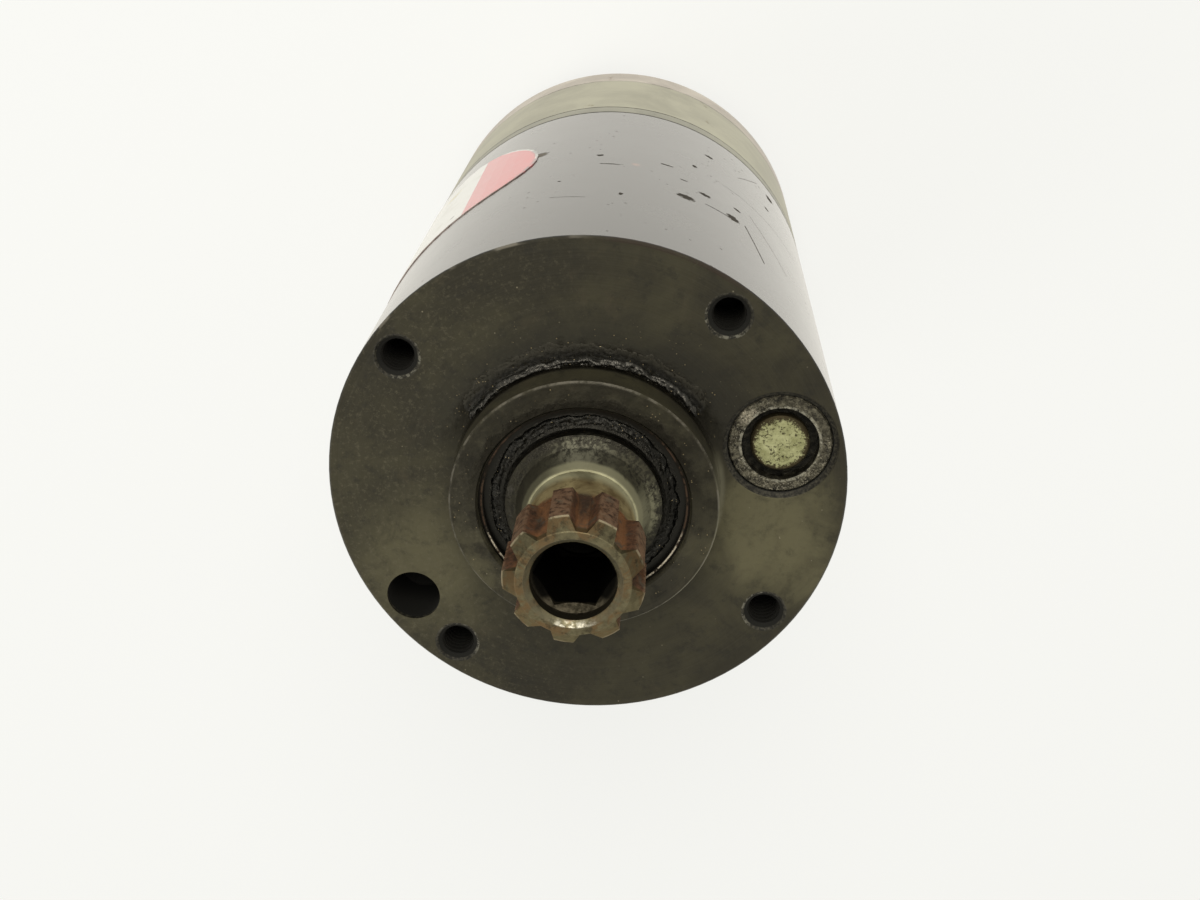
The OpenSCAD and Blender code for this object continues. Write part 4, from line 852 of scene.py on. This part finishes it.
for k, point in enumerate(HOLES):
    thread(f"mount_thread_{k + 1}", point + Vector((0, 0, FACE_Z - 0.0013)), (0, 0, 1), r=HOLE_R,
           pitch=0.0013, length=0.012, depth=0.00032)
PORTS = [(x, depth) for depth in PORT_DEPTHS for x in (-PORT_X, PORT_X)]
for k, (x, depth) in enumerate(PORTS):
    thread(f"port_thread_{k + 1}", Vector((x, PORT_FLAT_Y + 0.0035, FACE_Z - depth)), (0, -1, 0), r=PORT_R,
           pitch=0.0015, length=0.0085, depth=0.0005, per_turn=48)


def grease_band(name, r_in, r_out, z_at, start, end, height, seed, step_deg, across, ragged, grain):
    """A lumpy band of grease that lies round the shaft on a level surface, thinning to its edges."""
    rng = random.Random(seed)
    phases = [(rng.uniform(0.12, 0.6) * f, rng.uniform(0, 6.28), 1 / (1 + f * 0.12)) for f in range(1, 26)]

    def wave(a, shift):
        return sum(w * math.sin(math.radians(a) * k * 6 + p * (1 + shift)) for k, p, w in phases) / 4

    width = r_out - r_in
    count = round((end - start) / step_deg)
    closed = end - start >= 359.9
    verts = []
    for i in range(count if closed else count + 1):
        a = start + (end - start) * i / count
        taper = 1.0 if closed else min(1.0, i / 6, (count - i) / 6) ** 0.7
        outer = r_out + width * ragged * wave(a, 0.3) * taper - (1 - taper) * width * 0.7
        for j in range(across):
            t = j / (across - 1)
            hump = math.sin(math.pi * t) ** 0.6 if 0 < j < across - 1 else 0
            if j == 0:
                hump = 0.75
            lump = 1 + 0.54 * wave(a + 40 * t, 1 + j * 0.7) + grain * rng.uniform(-1, 1)
            rise = height * hump * max(0.15, lump) * taper
            verts.append(polar(r_in + (outer - r_in) * t, a, z_at - 0.00005 + rise))
        verts.append(polar(outer, a, z_at - 0.0002))
        verts.append(polar(r_in, a, z_at - 0.0002))
    n = across + 2
    rows = len(verts) // n
    faces = []
    for i in range(rows if closed else rows - 1):
        k = (i + 1) % rows
        for j in range(n):
            m = (j + 1) % n
            faces.append((i * n + j, k * n + j, k * n + m, i * n + m))
    if not closed:
        faces += [tuple(range(n)), tuple(reversed(range((rows - 1) * n, rows * n)))]
    add_mesh(name, verts, faces, "grease", "body")


grease_band("nose_grease", NOSE_R - 0.0001, NOSE_R + 0.0016, FACE_Z, 36, 148, 0.0010, seed=5, step_deg=0.6,
            across=8, ragged=0.35, grain=0.35)
grease_band("face_grease", NOSE_R + 0.0011, NOSE_R + 0.0042, FACE_Z, 36, 146, 0.00012, seed=21, step_deg=0.6,
            across=11, ragged=0.3, grain=0.9)
grease_band("seal_grease", JOURNAL_R + 0.0004, CHAMBER_R - 0.0022, FACE_Z + 0.0060, 0, 360, 0.0006, seed=9,
            step_deg=1.2, across=9, ragged=0.15, grain=0.7)


# Floor and light
def floor_look():
    """Pale floor that keeps soft shadows, and shows evenly pale in reflections."""
    s = Shade("floor")
    s.link((0.88, 0.88, 0.84), s.bsdf.inputs["Base Color"])
    s.link(0.9, s.bsdf.inputs["Roughness"])
    nodes = s.tree.nodes
    glow = nodes.new("ShaderNodeEmission")
    path = nodes.new("ShaderNodeLightPath")
    mirror = s.either(path.outputs["Is Glossy Ray"], path.outputs["Is Transmission Ray"])
    s.link(s.blend(mirror, (0.945, 0.945, 0.915), (0.96, 0.93, 0.85)), glow.inputs["Color"])
    share = s.either(mirror, s.mul(path.outputs["Is Camera Ray"], 0.75))
    mix = nodes.new("ShaderNodeMixShader")
    s.link(share, mix.inputs[0])
    s.tree.links.new(s.bsdf.outputs[0], mix.inputs[1])
    s.tree.links.new(glow.outputs[0], mix.inputs[2])
    s.tree.links.new(mix.outputs[0], nodes["Material Output"].inputs[0])
    return s.material


def make_floor():
    """Wide level floor at the part's lowest point."""
    mesh = bpy.data.meshes.new("floor")
    half = 3.0
    corners = [(-half, -half, 0), (half, -half, 0), (half, half, 0), (-half, half, 0)]
    mesh.from_pydata(corners, [], [(0, 1, 2, 3)])
    mesh.materials.append(floor_look())
    obj = bpy.data.objects.new("floor", mesh)
    bpy.context.collection.objects.link(obj)


def area_light(name, where, size, power, color=(1, 1, 1)):
    """Round lamp that points at the middle of the part."""
    lamp = bpy.data.lights.new(name, "AREA")
    lamp.shape = "DISK"
    lamp.size = size
    lamp.energy = power
    lamp.color = color
    obj = bpy.data.objects.new(name, lamp)
    bpy.context.collection.objects.link(obj)
    obj.location = where
    aim = Vector((0, 0, 0.12)) - Vector(where)
    obj.rotation_mode = "QUATERNION"
    obj.rotation_quaternion = aim.to_track_quat("-Z", "Y")


# Strength of the sky where it lights the part without being seen
AMBIENT = 0.55


def make_world():
    """Pale sky, at full strength where it is seen, straight on or mirrored."""
    world = bpy.data.worlds.new("world")
    world.use_nodes = True
    tree = world.node_tree
    back = tree.nodes["Background"]
    path = tree.nodes.new("ShaderNodeLightPath")
    level = tree.nodes.new("ShaderNodeValue").outputs[0]
    level.default_value = AMBIENT
    for seen in ("Is Camera Ray", "Is Transmission Ray", "Is Glossy Ray"):
        node = tree.nodes.new("ShaderNodeMath")
        node.operation = "MAXIMUM"
        tree.links.new(path.outputs[seen], node.inputs[0])
        tree.links.new(level, node.inputs[1])
        level = node.outputs[0]
    tree.links.new(level, back.inputs["Strength"])
    back.inputs["Color"].default_value = (0.95, 0.95, 0.925, 1)
    bpy.context.scene.world = world


make_floor()
make_world()
area_light("key", (0.05, 0.75, 1.0), 0.7, 9.0, (1.0, 0.985, 0.95))
area_light("fill", (-0.7, -0.3, 0.9), 0.6, 2.5)
bpy.context.scene.view_settings.view_transform = "Standard"
